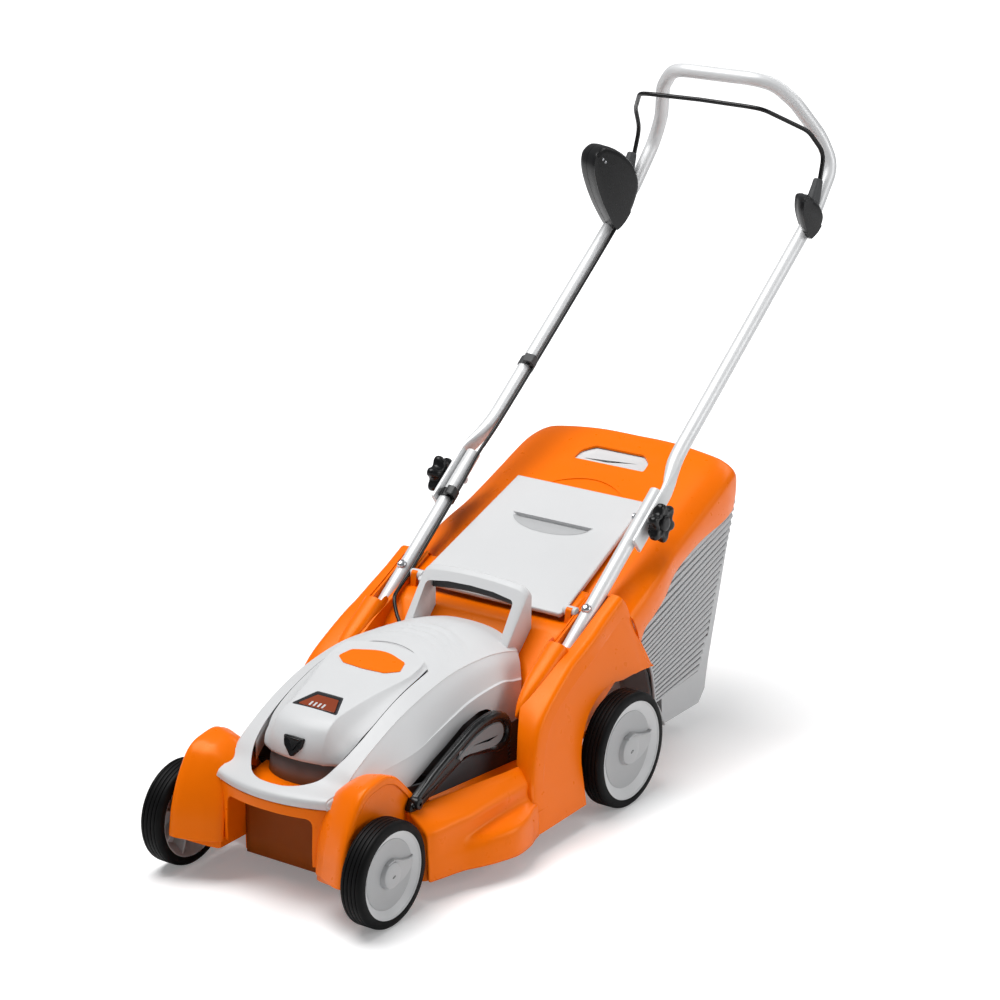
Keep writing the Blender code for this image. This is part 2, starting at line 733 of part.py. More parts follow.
def make_drive(colours, rotor, body):
    # Motor on the deck's roof, its shaft, the hub, the blade and the blade's bolt below it.
    y = BLADE_Y
    foot = DECK_TOP + GAP
    bore = SHAFT_RADIUS + RUNNING_GAP
    top = foot + MOTOR_HEIGHT
    motor = turned("motor", [(0, top), (30 * MM, top), (34 * MM, top - 8 * MM),
                             (MOTOR_RADIUS, top - 12 * MM), (MOTOR_RADIUS, foot), (0, foot)], 24)
    cut(motor, rod("bore", (0, 0, foot - 5 * MM), (0, 0, foot + 36 * MM), bore, 16))
    attach(shift(motor, 0, y, 0), colours["motor"], body)
    blade_top = BLADE_LOW + BLADE_THICK
    seat = blade_top + GAP
    shaft = turned("motor_shaft", [(0, foot + 34 * MM), (SHAFT_RADIUS, foot + 34 * MM),
                                   (SHAFT_RADIUS, seat + 20 * MM), (15 * MM, seat + 18 * MM),
                                   (24 * MM, seat + 8 * MM), (24 * MM, seat), (6 * MM, seat),
                                   (6 * MM, seat + 6 * MM), (0, seat + 6 * MM)], 20)
    attach(shift(shaft, 0, y, 0), colours["steel"], rotor)
    long = BLADE_LENGTH / 2
    wide = BLADE_WIDTH / 2
    half = [(long, -wide), (long - 8 * MM, wide * 0.55), (long - 70 * MM, wide), (0, wide)]
    plan = half + [(-x, -z) for x, z in half]
    plan = [(x, BLADE_Y + v) for x, v in plan]
    blade = slab("blade", plan, 'Z', BLADE_LOW, blade_top)
    for turn_side in (1, -1):
        wing = mm((long / MM - 66, 2), (long / MM - 4, 2), (long / MM - 4, 16), (long / MM - 60, 12))
        sail = slab("sail", wing, 'Y', -wide, -wide + 3 * MM)
        sail.data.transform(Matrix.Translation((0, 0, BLADE_LOW)))
        if turn_side < 0:
            sail.data.transform(Matrix.Rotation(math.pi, 4, 'Z'))
        join(blade, shift(sail, 0, BLADE_Y, 0))
    bolt = 4.5 * MM
    cut(blade, rod("hole", (0, y, BLADE_LOW - MM), (0, y, blade_top + MM), bolt + RUNNING_GAP, 12))
    attach(blade, colours["steel"], rotor)
    head = BLADE_LOW - GAP
    screw = turned("blade_bolt", [(0, blade_top + 4 * MM), (bolt, blade_top + 4 * MM), (bolt, head),
                                  (15 * MM, head), (15 * MM, head - 2 * MM), (9 * MM, head - 2 * MM),
                                  (9 * MM, head - 9 * MM), (0, head - 9 * MM)], 12)
    attach(shift(screw, 0, y, 0), colours["steel"], rotor)


def make_power(colours, body):
    # An open bay on the deck's roof with the battery standing in it, the key and the control box.
    floor = DECK_TOP + GAP
    outer = BATTERY_HALF + BAY_WALL + GAP
    front = FRONT_AXLE_Y + 75 * MM
    rear = front + BATTERY_LENGTH + 2 * BAY_WALL + 2 * GAP
    bay = block("battery_bay", (-outer, front, floor), (outer, rear, floor + 62 * MM))
    cut(bay, block("inside", (BAY_WALL - outer, front + BAY_WALL, floor + BAY_WALL),
                   (outer - BAY_WALL, rear - BAY_WALL, floor + 90 * MM)))
    attach(bay, colours["dark"], body)
    inner = front + BAY_WALL + GAP
    foot = floor + BAY_WALL + GAP
    pack = block("battery_pack", (-BATTERY_HALF, inner, foot),
                 (BATTERY_HALF, inner + BATTERY_LENGTH, foot + BATTERY_HEIGHT))
    bevel(pack, 4 * MM, 2)
    grip = rounded(mm((-24, 0), (24, 0), (18, 12, 4), (-18, 12, 4)))
    handle = slab("grip", grip, 'Y', inner + 40 * MM, inner + 50 * MM)
    join(pack, shift(handle, 0, 0, foot + BATTERY_HEIGHT - MM))
    attach(pack, colours["battery"], body)
    key = block("safety_key", (outer + GAP, inner + 20 * MM, floor), (outer + 12 * MM, inner + 46 * MM, floor + 50 * MM))
    join(key, block("tab", (outer + 3 * MM, inner + 28 * MM, floor + 45 * MM),
                    (outer + 9 * MM, inner + 38 * MM, floor + 66 * MM)))
    attach(key, colours["red"], body)
    start = -130 * MM
    middle = BLADE_Y
    box = block("control_box", (start, middle - 50 * MM, floor), (start + 62 * MM, middle + 62 * MM, floor + 26 * MM))
    for step in range(6):
        left = start + (5 + 9.6 * step) * MM
        join(box, block("fin", (left, middle - 44 * MM, floor + 20 * MM),
                        (left + 4 * MM, middle + 56 * MM, floor + 38 * MM)))
    attach(box, colours["metal"], body)


def make_cover(colours, lid, latch, body):
    cover = skin("battery_cover", cover_rows(), COVER_WALL)
    window = fore_plan((40, 79), (22, 115), (-22, 115), (-40, 79))
    grown = inset(window, -GAP)
    cut(cover, slab("window_hole", grown, 'Z', 200 * MM, 280 * MM))
    pane = skin("status_window", cover_rows(), 2 * MM, 0.4 * MM)
    overlap(pane, slab("plan", window, 'Z', 200 * MM, 280 * MM))
    attach(pane, colours["window"], lid)
    arc = [(x, -268 - 32 * (x / 50) ** 2) for x in (50, 38, 25, 12, 0, -12, -25, -38, -50)]
    badge_plan = mm((-36, -326), (36, -326), *arc)
    badge = skin("badge_plate", cover_rows(), 1.2 * MM, 1.2 * MM + GAP)
    overlap(badge, slab("plan", badge_plan, 'Z', 240 * MM, 300 * MM))
    attach(badge, colours["orange"], lid)
    shield = rounded(mm((-15, 11, 3), (-13, -4, 4), (0, -11, 3), (13, -4, 4), (15, 11, 3)))
    lean = Matrix.Translation((0, FRONT_AXLE_Y + 53 * MM, 214 * MM)) @ Matrix.Rotation(math.radians(57.2), 4, 'X')
    hole = slab("latch_hole", inset(shield, -RUNNING_GAP), 'Z', -20 * MM, 20 * MM)
    hole.data.transform(lean)
    cut(cover, hole)
    button = cushion("cover_latch", shield, 'Z', -9 * MM, 3.2 * MM, 0.8 * MM, 1)
    button.data.transform(lean)
    attach(button, colours["black"], latch)
    attach(cover, colours["light"], lid)


# Deck

HOOD = mm((-120, 92), (-114, 186), (-100, 199), (-42, 256), (-22, 266), (64, 266), (148, 178),
          (141, 166), (-72, 44), (-120, 44))
TUNNEL = mm((-150, 40), (-150, 91.5), (-115.5, 91.5), (-109.5, 184), (-97, 195.5), (-40, 251),
            (-21, 261.5), (200, 261.5), (200, 205.4), (-72, 49.5), (-90, 40))
FENDER = mm((-225, 34), (-224, 66), (-222, 100), (-212, 139), (-198, 170), (-175, 195), (-140, 218),
            (-100, 240), (-66, 254), (-30, 270), (36, 303), (66, 246), (101, 178), (-30, 178),
            (-70, 158), (-92, 125), (-96, 34))
POD = fore((-61, 66), (-54, 105), (-43, 136), (-16, 178), (11, 190), (38, 193), (66, 180),
           (91, 154), (114, 126), (134, 100), (134, 66))


def pod_solid(name, grow=0.0, low=None):
    # The arch beside a front wheel: its section shrinks towards the middle of the mower.
    outline = inset(POD, -grow) if grow else POD
    rings = []
    for x, across, up, lift in ((150, 0.975, 0.98, 3), (147, 1, 1, 3), (118, 0.87, 0.96, -4),
                                (96, 0.74, 0.86, -10), (87, 0.68, 0.8, -12), (84, 0.64, 0.76, -12)):
        ring = []
        for y, z in outline:
            height = 60 * MM + (z - 60 * MM) * up
            if z < 76 * MM:
                height = z + lift * MM if low is None else low
            middle = FRONT_AXLE_Y + 26 * MM
            ring.append((x * MM, middle + (y - middle) * across, height))
        rings.append(ring)
    return loft(name, rings)


def slope_cut():
    # Everything above the sloping shoulder of the skirt.
    normal = Vector((0.661, 0.068, 0.747))
    tool = block("above", (-400 * MM, -400 * MM, 0), (400 * MM, 400 * MM, 200 * MM))
    tool.data.transform(normal.to_track_quat('Z', 'Y').to_matrix().to_4x4())
    return shift(tool, 155 * MM, SKIRT_FRONT + 24 * MM, 124 * MM)


def fender_solid():
    fender = slab("fender", FENDER, 'X', FENDER_INNER - 14 * MM, FENDER_LOW_HALF + 4 * MM)
    lean = [(FENDER_LOW_HALF, 20 * MM), (FENDER_LOW_HALF, 40 * MM), (FENDER_TOP_HALF, 250 * MM),
            (FENDER_TOP_HALF - 2 * MM, 330 * MM), (300 * MM, 330 * MM), (300 * MM, 20 * MM)]
    cut(fender, slab("lean", lean, 'Y', -260 * MM, 140 * MM))
    bevel(fender, 6 * MM, 2, 30)
    cut(fender, block("inner", (100 * MM, -300 * MM, 0), (FENDER_INNER, 200 * MM, 400 * MM)))
    front = mm((130, -124), (151, -130), (192, -222), (192, -300), (130, -300))
    cut(fender, slab("front", front, 'Z', 100 * MM, 300 * MM))
    return fender


def groove(grow):
    # The channel in which the lower tube lies on the fender, open above.
    wide = TUBE_RADIUS + 1.5 * MM + grow
    return along_tube(block("groove", (TUBE_X - wide, -grow, -wide), (TUBE_X + wide, 180 * MM, 90 * MM)))


def make_deck(material, body):
    middle = -14 * MM
    upper = rounded([(middle, DECK_FRONT), (148 * MM, DECK_FRONT), (150 * MM, SKIRT_FRONT),
                     (SKIRT_HALF, SKIRT_FRONT, 10 * MM), (SKIRT_HALF, DECK_REAR), (middle, DECK_REAR)], 4)
    deck = slab("deck", upper, 'Z', SKIRT_STEP - 6 * MM, SHOULDER_TOP)
    cut(deck, slope_cut())
    lower = [(middle, DECK_FRONT), (148 * MM, DECK_FRONT), (150 * MM, SKIRT_FRONT),
             (184 * MM, SKIRT_FRONT, 12 * MM), (197 * MM, -330 * MM), (216 * MM, -262 * MM),
             (SKIRT_REAR_HALF, -215 * MM), (222 * MM, -96 * MM), (middle, -96 * MM)]
    skirt = slab("skirt", rounded(lower, 4), 'Z', SKIRT_LOW, SKIRT_STEP)
    bevel(skirt, 3 * MM, 1)
    band = fore_plan((-14, -32), (20, -32), (60, -26), (96, -10), (112, 10), (112, 36), (-14, 36))
    hood = slab("hood", HOOD, 'X', middle, HOOD_HALF)
    join(deck, skirt, slab("band", band, 'Z', BAND_LOW, BAND_TOP), pod_solid("pod"), fender_solid(), hood)
    ear = rounded(mm((-16, 258), (-12, 289, 6), (4, 289, 6), (10, 258)))
    join(deck, slab("ear", ear, 'X', 134 * MM, 144 * MM))

    # Room for the housing and for the dark base below it
    cut(deck, housing_hull(1.1 * MM))
    pocket = fore_plan((-14, 67), (113, 67), (126, 79), (149, 132)) + mm((149, -121), (-14, -121))
    cut(deck, slab("pocket", pocket, 'Z', DECK_TOP, 152 * MM))

    # The hollow underside: the blade's chamber inside a ring wall, and the skirts around it
    ring = rod("ring", (0, BLADE_Y, 10 * MM), (0, BLADE_Y, 160 * MM), CHAMBER_RADIUS + WALL, 36)
    roof = DECK_TOP - DECK_ROOF
    hollows = []
    for plan, far, high in ((lower, 400, SKIRT_STEP - WALL), (upper, 400, SKIRT_STEP + 6 * MM),
                            (upper, 146, roof)):
        room = slab("room", inset(plan, WALL), 'Z', 10 * MM, high)
        if far < 200:
            cut(room, block("side", (far * MM, -700 * MM, 0), (400 * MM, 0, 200 * MM)))
        cut(room, block("corner", (-50 * MM, -186 * MM, 0), (149 * MM, 0, 200 * MM)))
        hollows.append(combine(room, ring, 'DIFFERENCE', keep=True))
    remove(ring)
    cut(deck, *hollows)
    cut(deck, rod("chamber", (0, BLADE_Y, 10 * MM), (0, BLADE_Y, roof), CHAMBER_RADIUS, 36))
    cut(deck, rod("shaft_hole", (0, BLADE_Y, 60 * MM), (0, BLADE_Y, 120 * MM), SHAFT_HOLE, 20))

    # Pods and front band are shells, and the stub axle leaves through a slot
    pod_room = pod_solid("pod_room", -WALL, 10 * MM)
    cut(pod_room, block("inner", (0, -700 * MM, 0), (POD_INNER + WALL, 0, 300 * MM)))
    cut(pod_room, block("outer", (POD_OUTER - WALL, -700 * MM, 0), (300 * MM, 0, 300 * MM)))
    cut(pod_room, block("tail", (0, FRONT_AXLE_Y + 60 * MM, 0), (300 * MM, 0, 300 * MM)))
    cut(pod_room, housing_hull(4 * MM))
    cut(deck, pod_room)
    stub = AXLE_RADIUS + 2 * MM
    cut(deck, block("slot", (140 * MM, FRONT_AXLE_Y - 5 * MM - stub, 10 * MM),
                    (158 * MM, FRONT_AXLE_Y + stub, FRONT_WHEEL_RADIUS + stub)))
    inside = fore_plan((-20, -27), (20, -27), (58, -21), (80, -13), (80, 23), (-20, 23))
    cut(deck, slab("band_room", inside, 'Z', 60 * MM, BAND_TOP - WALL))

    # Discharge tunnel to the catcher, and the fender's own hollow with the tube's socket left in it
    cut(deck, slab("tunnel", TUNNEL, 'X', -30 * MM, HOOD_HALF - 5 * MM))
    plan = inset(FENDER, WALL)
    plan[0] = Vector((plan[0].x, 10 * MM))
    plan[-1] = Vector((plan[-1].x, 10 * MM))
    room = slab("fender_room", plan, 'X', FENDER_INNER + WALL, FENDER_LOW_HALF)
    lean = [(FENDER_LOW_HALF - WALL, 0), (FENDER_LOW_HALF - WALL, 40 * MM),
            (FENDER_TOP_HALF - WALL, 250 * MM), (FENDER_TOP_HALF - WALL, 330 * MM), (300 * MM, 330 * MM),
            (300 * MM, 0)]
    cut(room, slab("lean", lean, 'Y', -260 * MM, 140 * MM))
    front = mm((130, -112), (155, -122), (197, -216), (197, -300), (130, -300))
    cut(room, slab("front", front, 'Z', 60 * MM, 300 * MM))
    cut(room, rod("well", (FRONT_TRACK_HALF + 2 * MM, 0, REAR_WHEEL_RADIUS), (260 * MM, 0, REAR_WHEEL_RADIUS),
                  REAR_WHEEL_RADIUS + WHEEL_WELL_GAP + WALL, 32))
    cut(room, groove(WALL))
    cut(room, along_tube(rod("boss", (TUBE_X, -TUBE_SUNK - WALL, 0), (TUBE_X, 10 * MM, 0), 16 * MM, 20)))
    seat = bolt_along()
    cut(room, along_tube(rod("bolt_boss", (TUBE_X, seat, -30 * MM), (TUBE_X, seat, 0), 9 * MM, 12)))
    cut(deck, room)
    cut(deck, groove(0.0))
    cut(deck, along_tube(rod("socket", (TUBE_X, GAP - TUBE_SUNK - 0.5 * MM, 0), (TUBE_X, 20 * MM, 0),
                             TUBE_RADIUS + GAP, 24)))
    cut(deck, along_tube(rod("bolt_hole", (TUBE_X, seat, -24 * MM), (TUBE_X, seat, 0),
                             BOLT_RADIUS + RUNNING_GAP, 12)))
    cut(deck, rod("well", (198 * MM, 0, REAR_WHEEL_RADIUS), (260 * MM, 0, REAR_WHEEL_RADIUS),
                  REAR_WHEEL_RADIUS + WHEEL_WELL_GAP, 32))
    cut(deck, rod("pin_hole", (130 * MM, FLAP_HINGE_Y, FLAP_HINGE_Z), (160 * MM, FLAP_HINGE_Y, FLAP_HINGE_Z),
                  PIN_RADIUS + GAP, 12))
    join(deck, *axle_brackets())
    mirror(deck, True)

    # The height lever's ledge and pivot, on the operator's left only
    y, z = LEVER_PIVOT
    cut(deck, block("ledge", (POD_OUTER, y - 12 * MM, 121 * MM), (168 * MM, y + 41 * MM, 160 * MM)))
    join(deck, rod("lever_pin", (POD_OUTER - 6 * MM, y, z), (POD_OUTER + 15 * MM, y, z), 4 * MM, 12))
    tidy(deck.data)
    attach(deck, material, body)


def bolt_along():
    return 72 * MM


def make_lever(colours, lever, body):
    y, z = LEVER_PIVOT
    shape = rounded(beside_lever((-0.056, 127, 7), (0.039, 126, 4), (0.365, 152), (0.511, 161), (0.841, 145),
                                 (0.923, 144, 4), (0.961, 172, 4), (0.906, 194, 5), (0.794, 207, 8),
                                 (0.597, 203, 12), (0.416, 187, 12), (0.026, 149, 6)))
    arm = cushion("height_lever", shape, 'X', POD_OUTER + GAP, POD_OUTER + 12.7 * MM, 1.5 * MM, 1)
    panel = beside_lever((0.476, 169, 3), (0.828, 153, 3), (0.897, 154, 3), (0.923, 172, 3), (0.871, 190, 3),
                         (0.785, 197, 3), (0.605, 192, 3))
    cut(arm, slab("panel", rounded(panel), 'X', POD_OUTER + 10.5 * MM, 200 * MM))
    cut(arm, rod("bore", (100 * MM, y, z), (200 * MM, y, z), 4 * MM + RUNNING_GAP, 14))
    attach(arm, colours["black"], lever)
    low, high = 108 * MM, 169 * MM
    root, rear = RACK_Y + 6 * MM, RACK_Y + 38 * MM
    teeth = [(rear, low), (rear, high), (root, high)]
    for step in range(9):
        top = high - (3 + 6.5 * step) * MM
        teeth += [(RACK_Y, top), (root, top - 4 * MM)]
    teeth.append((root, low))
    attach(slab("height_rack", teeth, 'X', 147.3 * MM, 148.7 * MM), colours["dark"], body)


# Flap and catcher

def in_flap_frame(thing):
    # From a frame with Y down the flap and Z off its face, starting on its hinge.
    place = Matrix.Translation((0, FLAP_HINGE_Y, FLAP_HINGE_Z)) @ Matrix.Rotation(SLOPE, 4, 'X')
    thing.data.transform(place)
    return thing


def make_flap(material, pin_material, flap, body):
    top = 4.3 * MM
    under = top - FLAP_THICK
    wide = FLAP_LOW_HALF
    tip = FLAP_TOP_HALF
    end = FLAP_LENGTH
    half = [(wide, -3 * MM, 0), (wide, 16 * MM, 12 * MM), (tip, end, 10 * MM)]
    plan = rounded(half + [(-x, y, r) for x, y, r in reversed(half)], 4)
    plate = slab("rear_flap", plan, 'Z', under, top)
    skirt = slab("flange", plan, 'Z', under - 6 * MM, under + MM)
    cut(skirt, slab("inside", inset(plan, FLAP_THICK), 'Z', under - 9 * MM, under + 3 * MM))
    cut(skirt, block("front", (-wide, -20 * MM, -30 * MM), (wide, 14 * MM, 30 * MM)))
    join(plate, skirt)
    knuckle = rod("knuckle", (-wide, 0, 0), (wide, 0, 0), 5.5 * MM, 16)
    join(plate, knuckle)
    bow = [(x, 171 - 37 * (1 - (x / 70) ** 2) ** 0.5) for x in (-70, -64, -52, -34, -14, 14, 34, 52, 64, 70)]
    bowl = slab("bowl", mm(*bow), 'Z', under - 5.4 * MM, under + MM)
    join(plate, bowl)
    cut(plate, slab("hollow", inset(mm(*bow), 2 * MM), 'Z', under - 3 * MM, top + 5 * MM))
    cut(plate, rod("bore", (-150 * MM, 0, 0), (150 * MM, 0, 0), PIN_RADIUS + RUNNING_GAP, 12))
    attach(in_flap_frame(plate), material, flap)
    pin = rod("flap_hinge_pin", (-144 * MM, 0, 0), (144 * MM, 0, 0), PIN_RADIUS, 12)
    attach(in_flap_frame(pin), pin_material, body)


def lid_rows():
    rows = []
    for y, half, low, lean in ((42, 205, 178, 0.52), (70, 205, 192, 0.5), (102, 205, 205, 0.36),
                               (150, 202, 224, 0.2), (200, 194, 244, 0.1), (270, 191, 272, 0.03),
                               (340, 188, 299, 0), (372, 184, 312, 0), (388, 180, 318, 0), (396, 176, 321, 0)):
        top = 369 + (y - 227) * 0.4
        if y > 340:
            top = {372: 418, 388: 410, 396: 392}[y]
        points = [(0, top), (0.5 * half, top - 3), (0.8 * half, top - 11), (half - 9, top - 21),
                  (half - 2, top - 31), (half, top - 42), (half - 4, low)]
        rows.append([Vector((x, y + max(0, 300 - z) * lean, z)) * MM for x, z in points])
    return rows


def lid_hull(grow):
    return grown_hull(lid_rows(), grow)


BASKET = mm((214, 33), (210, 75), (196, 110), (180, 138), (152, 181), (72, 263), (60, 292), (60, 330),
            (386, 440), (387, 318), (379, 285), (361, 192), (342, 99), (336, 52), (318, 33))


def make_catcher(colours, body):
    lid = skin("catcher_lid", lid_rows(), LID_WALL)
    rear_wall = slab("rear_wall", mm((-172, 323), (172, 323), (176, 380), (150, 400), (-150, 400), (-176, 380)),
                     'Y', 391 * MM, 394.5 * MM)
    join(lid, rear_wall)
    slot = rounded(mm((-60, 293, 3), (60, 293, 3), (38, 322, 6), (-38, 322, 6)))
    cut(lid, slab("slot", slot, 'Z', 340 * MM, 460 * MM))
    attach(lid, colours["orange"], body)

    # The tray under the slot gives the hand its room
    tray = slab("grip_insert", inset(slot, -5 * MM), 'Z', 352 * MM, 420 * MM)
    overlap(tray, lid_hull(-LID_WALL - GAP))
    cut(tray, slab("well", inset(slot, -MM), 'Z', 356 * MM, 460 * MM))
    attach(tray, colours["light"], body)

    half = BASKET_TOP_HALF
    basket = slab("catcher_basket", BASKET, 'X', -half, half)
    taper = [(BASKET_LOW_HALF, 20 * MM), (BASKET_LOW_HALF, 60 * MM), (half, 300 * MM), (half, 460 * MM)]
    sides = slab("sides", taper + [(-x, z) for x, z in reversed(taper)], 'Y', 0, 460 * MM)
    overlap(basket, sides)
    overlap(basket, lid_and_below())
    inside = slab("inside", inset(BASKET, BASKET_WALL), 'X', -half, half)
    inner = [(x - BASKET_WALL, z) for x, z in taper]
    inner = slab("sides", inner + [(-x, z) for x, z in reversed(inner)], 'Y', 0, 460 * MM)
    overlap(inside, inner)
    mouth = mm((40, 300), (78, 250), (142, 185), (170, 200), (170, 300))
    room = join(inside, slab("mouth", mouth, 'X', -143 * MM, 143 * MM))
    above = slab("above", mm((50, 286), (400, 426), (400, 480), (50, 480)), 'X', 4 * MM - half, half - 4 * MM)
    cut(basket, join(room, above))
    side_window = mm((225, 120), (336, 140), (370, 306), (100, 262), (170, 188), (205, 140))
    rear_window = mm((-140, 120), (140, 120), (146, 300), (-146, 300))
    cut(basket, slab("window", side_window, 'X', -200 * MM, 200 * MM))
    cut(basket, slab("window", rear_window, 'Y', 320 * MM, 420 * MM))
    attach(basket, colours["basket"], body)
    make_grilles(side_window, rear_window, taper, colours["basket"], body)


def lid_and_below():
    # The room of the catcher below the lid's inner face.
    keep = lid_hull(-LID_WALL - MM)
    low = mm((30, 20), (420, 20), (420, 345), (105, 190), (30, 150))
    return join(keep, slab("low", low, 'X', -BASKET_TOP_HALF - MM, BASKET_TOP_HALF + MM))


def make_grilles(side_window, rear_window, taper, material, body):
    # Slatted panels: slots parallel to the lid's slope leave the slats standing.
    thin = BASKET_WALL - 0.4 * MM
    lean = (taper[2][0] - taper[1][0]) / (taper[2][1] - taper[1][1])
    panel = slab("basket_grille_left", inset(side_window, GAP), 'X', 0, thin)
    slots = None
    for step in range(SLAT_COUNT):
        y, z = 215 * MM, 92 * MM + SLAT_PITCH * step
        slot = [(y - 110 * MM, z - 44 * MM), (y + 160 * MM, z + 64 * MM),
                (y + 160 * MM, z + 64 * MM + SLAT_SLOT), (y - 110 * MM, z - 44 * MM + SLAT_SLOT)]
        slots = merge(slots, slab("slot", slot, 'X', -0.02, 0.02))
    overlap(slots, slab("field", inset(side_window, 6 * MM), 'X', -0.03, 0.03))
    cut(panel, slots)
    lift = Matrix.Identity(4)
    lift[0][2] = lean
    lift[0][3] = taper[1][0] - lean * taper[1][1] - thin
    panel.data.transform(lift)
    right = mirrored_copy(panel, "basket_grille_right")
    attach(panel, material, body)
    attach(right, material, body)
    rear = slab("basket_grille_rear", inset(rear_window, GAP), 'Y', 0, thin)
    slots = None
    for step in range(SLAT_COUNT + 1):
        z = 128 * MM + SLAT_PITCH * step
        slots = merge(slots, block("slot", (-0.2, -0.02, z), (0.2, 0.02, z + SLAT_SLOT)))
    overlap(slots, slab("field", inset(rear_window, 6 * MM), 'Y', -0.03, 0.03))
    cut(rear, slots)
    slope = Matrix.Identity(4)
    slope[1][2] = 19 / 93
    slope[1][3] = (342 - 99 * 19 / 93) * MM - thin
    rear.data.transform(slope)
    attach(rear, material, body)


def merge(first, second):
    # Two separate bodies in one mesh.
    if first is None:
        return second
    form = bmesh.new()
    form.from_mesh(first.data)
    form.from_mesh(second.data)
    form.to_mesh(first.data)
    form.free()
    remove(second)
    return first


# Handle

def make_lower_tubes(colours, body):
    length = TUBE_SUNK + TUBE_LENGTH
    inner = TUBE_RADIUS - TUBE_WALL
    pipe = turned("lower_tube_left", [(TUBE_RADIUS, length), (TUBE_RADIUS, 0), (inner, 0), (inner, length)],
                  16, closed=True)
    pipe.data.transform(Matrix.Translation((TUBE_X, -TUBE_SUNK, 0)) @ Matrix.Rotation(-math.pi / 2, 4, 'X'))
    hole = BOLT_RADIUS + RUNNING_GAP
    cut(pipe, rod("fold_hole", (140 * MM, FOLD_ALONG, 0), (190 * MM, FOLD_ALONG, 0), hole, 12))
    seat = bolt_along()
    cut(pipe, rod("bolt_hole", (TUBE_X, seat, -20 * MM), (TUBE_X, seat, 20 * MM), hole, 12))
    along_tube(pipe)
    attach(mirrored_copy(pipe, "lower_tube_right"), colours["tube"], body)
    attach(pipe, colours["tube"], body)
    stay = [(0, TUBE_RADIUS + 4.5 * MM), (4 * MM, TUBE_RADIUS + 4 * MM), (6.5 * MM, TUBE_RADIUS + GAP),
            (BOLT_RADIUS, TUBE_RADIUS + GAP), (BOLT_RADIUS, -22 * MM), (0, -22 * MM)]
    stay = along_tube(shift(turned("tube_bolt_left", stay, 14), TUBE_X, seat, 0))
    clamp = [(0, 32 * MM), (BOLT_RADIUS, 32 * MM), (BOLT_RADIUS, -TUBE_RADIUS - GAP),
             (6 * MM, -TUBE_RADIUS - GAP), (6 * MM, -TUBE_RADIUS - 3 * MM), (0, -TUBE_RADIUS - 3 * MM)]
    clamp = along_tube(shift(turned("clamp_bolt_left", clamp, 14, 'X'), TUBE_X, FOLD_ALONG, 0))
    for bolt in (stay, clamp):
        attach(mirrored_copy(bolt, bolt.name.replace("left", "right")), colours["steel"], body)
        attach(bolt, colours["steel"], body)


def make_knob(side, material, body):
    # A star of five lobes round a hub, with a blind bore on the clamp bolt's end.
    start = TUBE_RADIUS + FLAT_THICK + 0.4 * MM + 2 * GAP
    centre = tube_point(TUBE_X, FOLD_ALONG)
    points = []
    for step in range(20):
        angle = 2 * math.pi * step / 20
        reach = KNOB_RADIUS * (0.84 + 0.16 * math.cos(5 * angle))
        points.append(Vector((reach * math.cos(angle), reach * math.sin(angle))))
    star = cushion("clamp_knob", points, 'X', start + 6 * MM, start + 19 * MM, 2.5 * MM)
    join(star, rod("foot", (start, 0, 0), (start + 10 * MM, 0, 0), 11 * MM, 16))
    cut(star, rod("bore", (start - MM, 0, 0), (33 * MM, 0, 0), BOLT_RADIUS + RUNNING_GAP, 12))
    shift(star, *centre)
    if side < 0:
        star = mirrored_swap(star)
    star.name = "clamp_knob_left" if side > 0 else "clamp_knob_right"
    attach(star, material, body)


def mirrored_swap(thing):
    tidy(thing.data, Matrix.Scale(-1, 4, Vector((1, 0, 0))))
    return thing


def sweep_half(name, path, sizes, sides, thickness):
    # Half of a tube whose section changes along its path, mirrored at X = 0, then given its wall.
    form = bmesh.new()
    rows = []
    across = Vector((1, 0, 0))
    for k, (point, (wide, high)) in enumerate(zip(path, sizes)):
        ahead = path[min(k + 1, len(path) - 1)] - path[max(k - 1, 0)]
        if k == len(path) - 1:
            ahead = Vector((-1, 0, 0))
        ahead.normalize()
        across = (across - ahead * across.dot(ahead)).normalized()
        upright = ahead.cross(across)
        row = []
        for j in range(sides):
            angle = 2 * math.pi * (j + 0.5) / sides
            place = point + across * wide * math.cos(angle) + upright * high * math.sin(angle)
            if k == len(path) - 1:
                place.x = 0
            row.append(form.verts.new(place))
        rows.append(row)
    for row, following in zip(rows, rows[1:]):
        for j in range(sides):
            nxt = (j + 1) % sides
            form.faces.new((row[j], row[nxt], following[nxt], following[j]))
    bmesh.ops.recalc_face_normals(form, faces=form.faces)
    centre = path[0]
    face = form.faces[:][0]
    form.normal_update()
    if face.normal.dot(face.calc_center_median() - (path[0] + path[1]) / 2) < 0:
        bmesh.ops.reverse_faces(form, faces=form.faces)
    mesh = bpy.data.meshes.new(name)
    form.to_mesh(mesh)
    form.free()
    thing = mirror(new_object(name, mesh))
    wall = thing.modifiers.new("wall", 'SOLIDIFY')
    wall.thickness = thickness
    wall.offset = -1
    bake(thing)
    tidy(thing.data)
    return thing


STRAIGHT_END = 858 * MM
BOW = mm((164, 687, 813), (146, 679, 858), (121, 643, 914), (94, 625, 943),
         (64, 606, 952), (0, 610, 951))
FLAT_CENTRE = 181.2 * MM


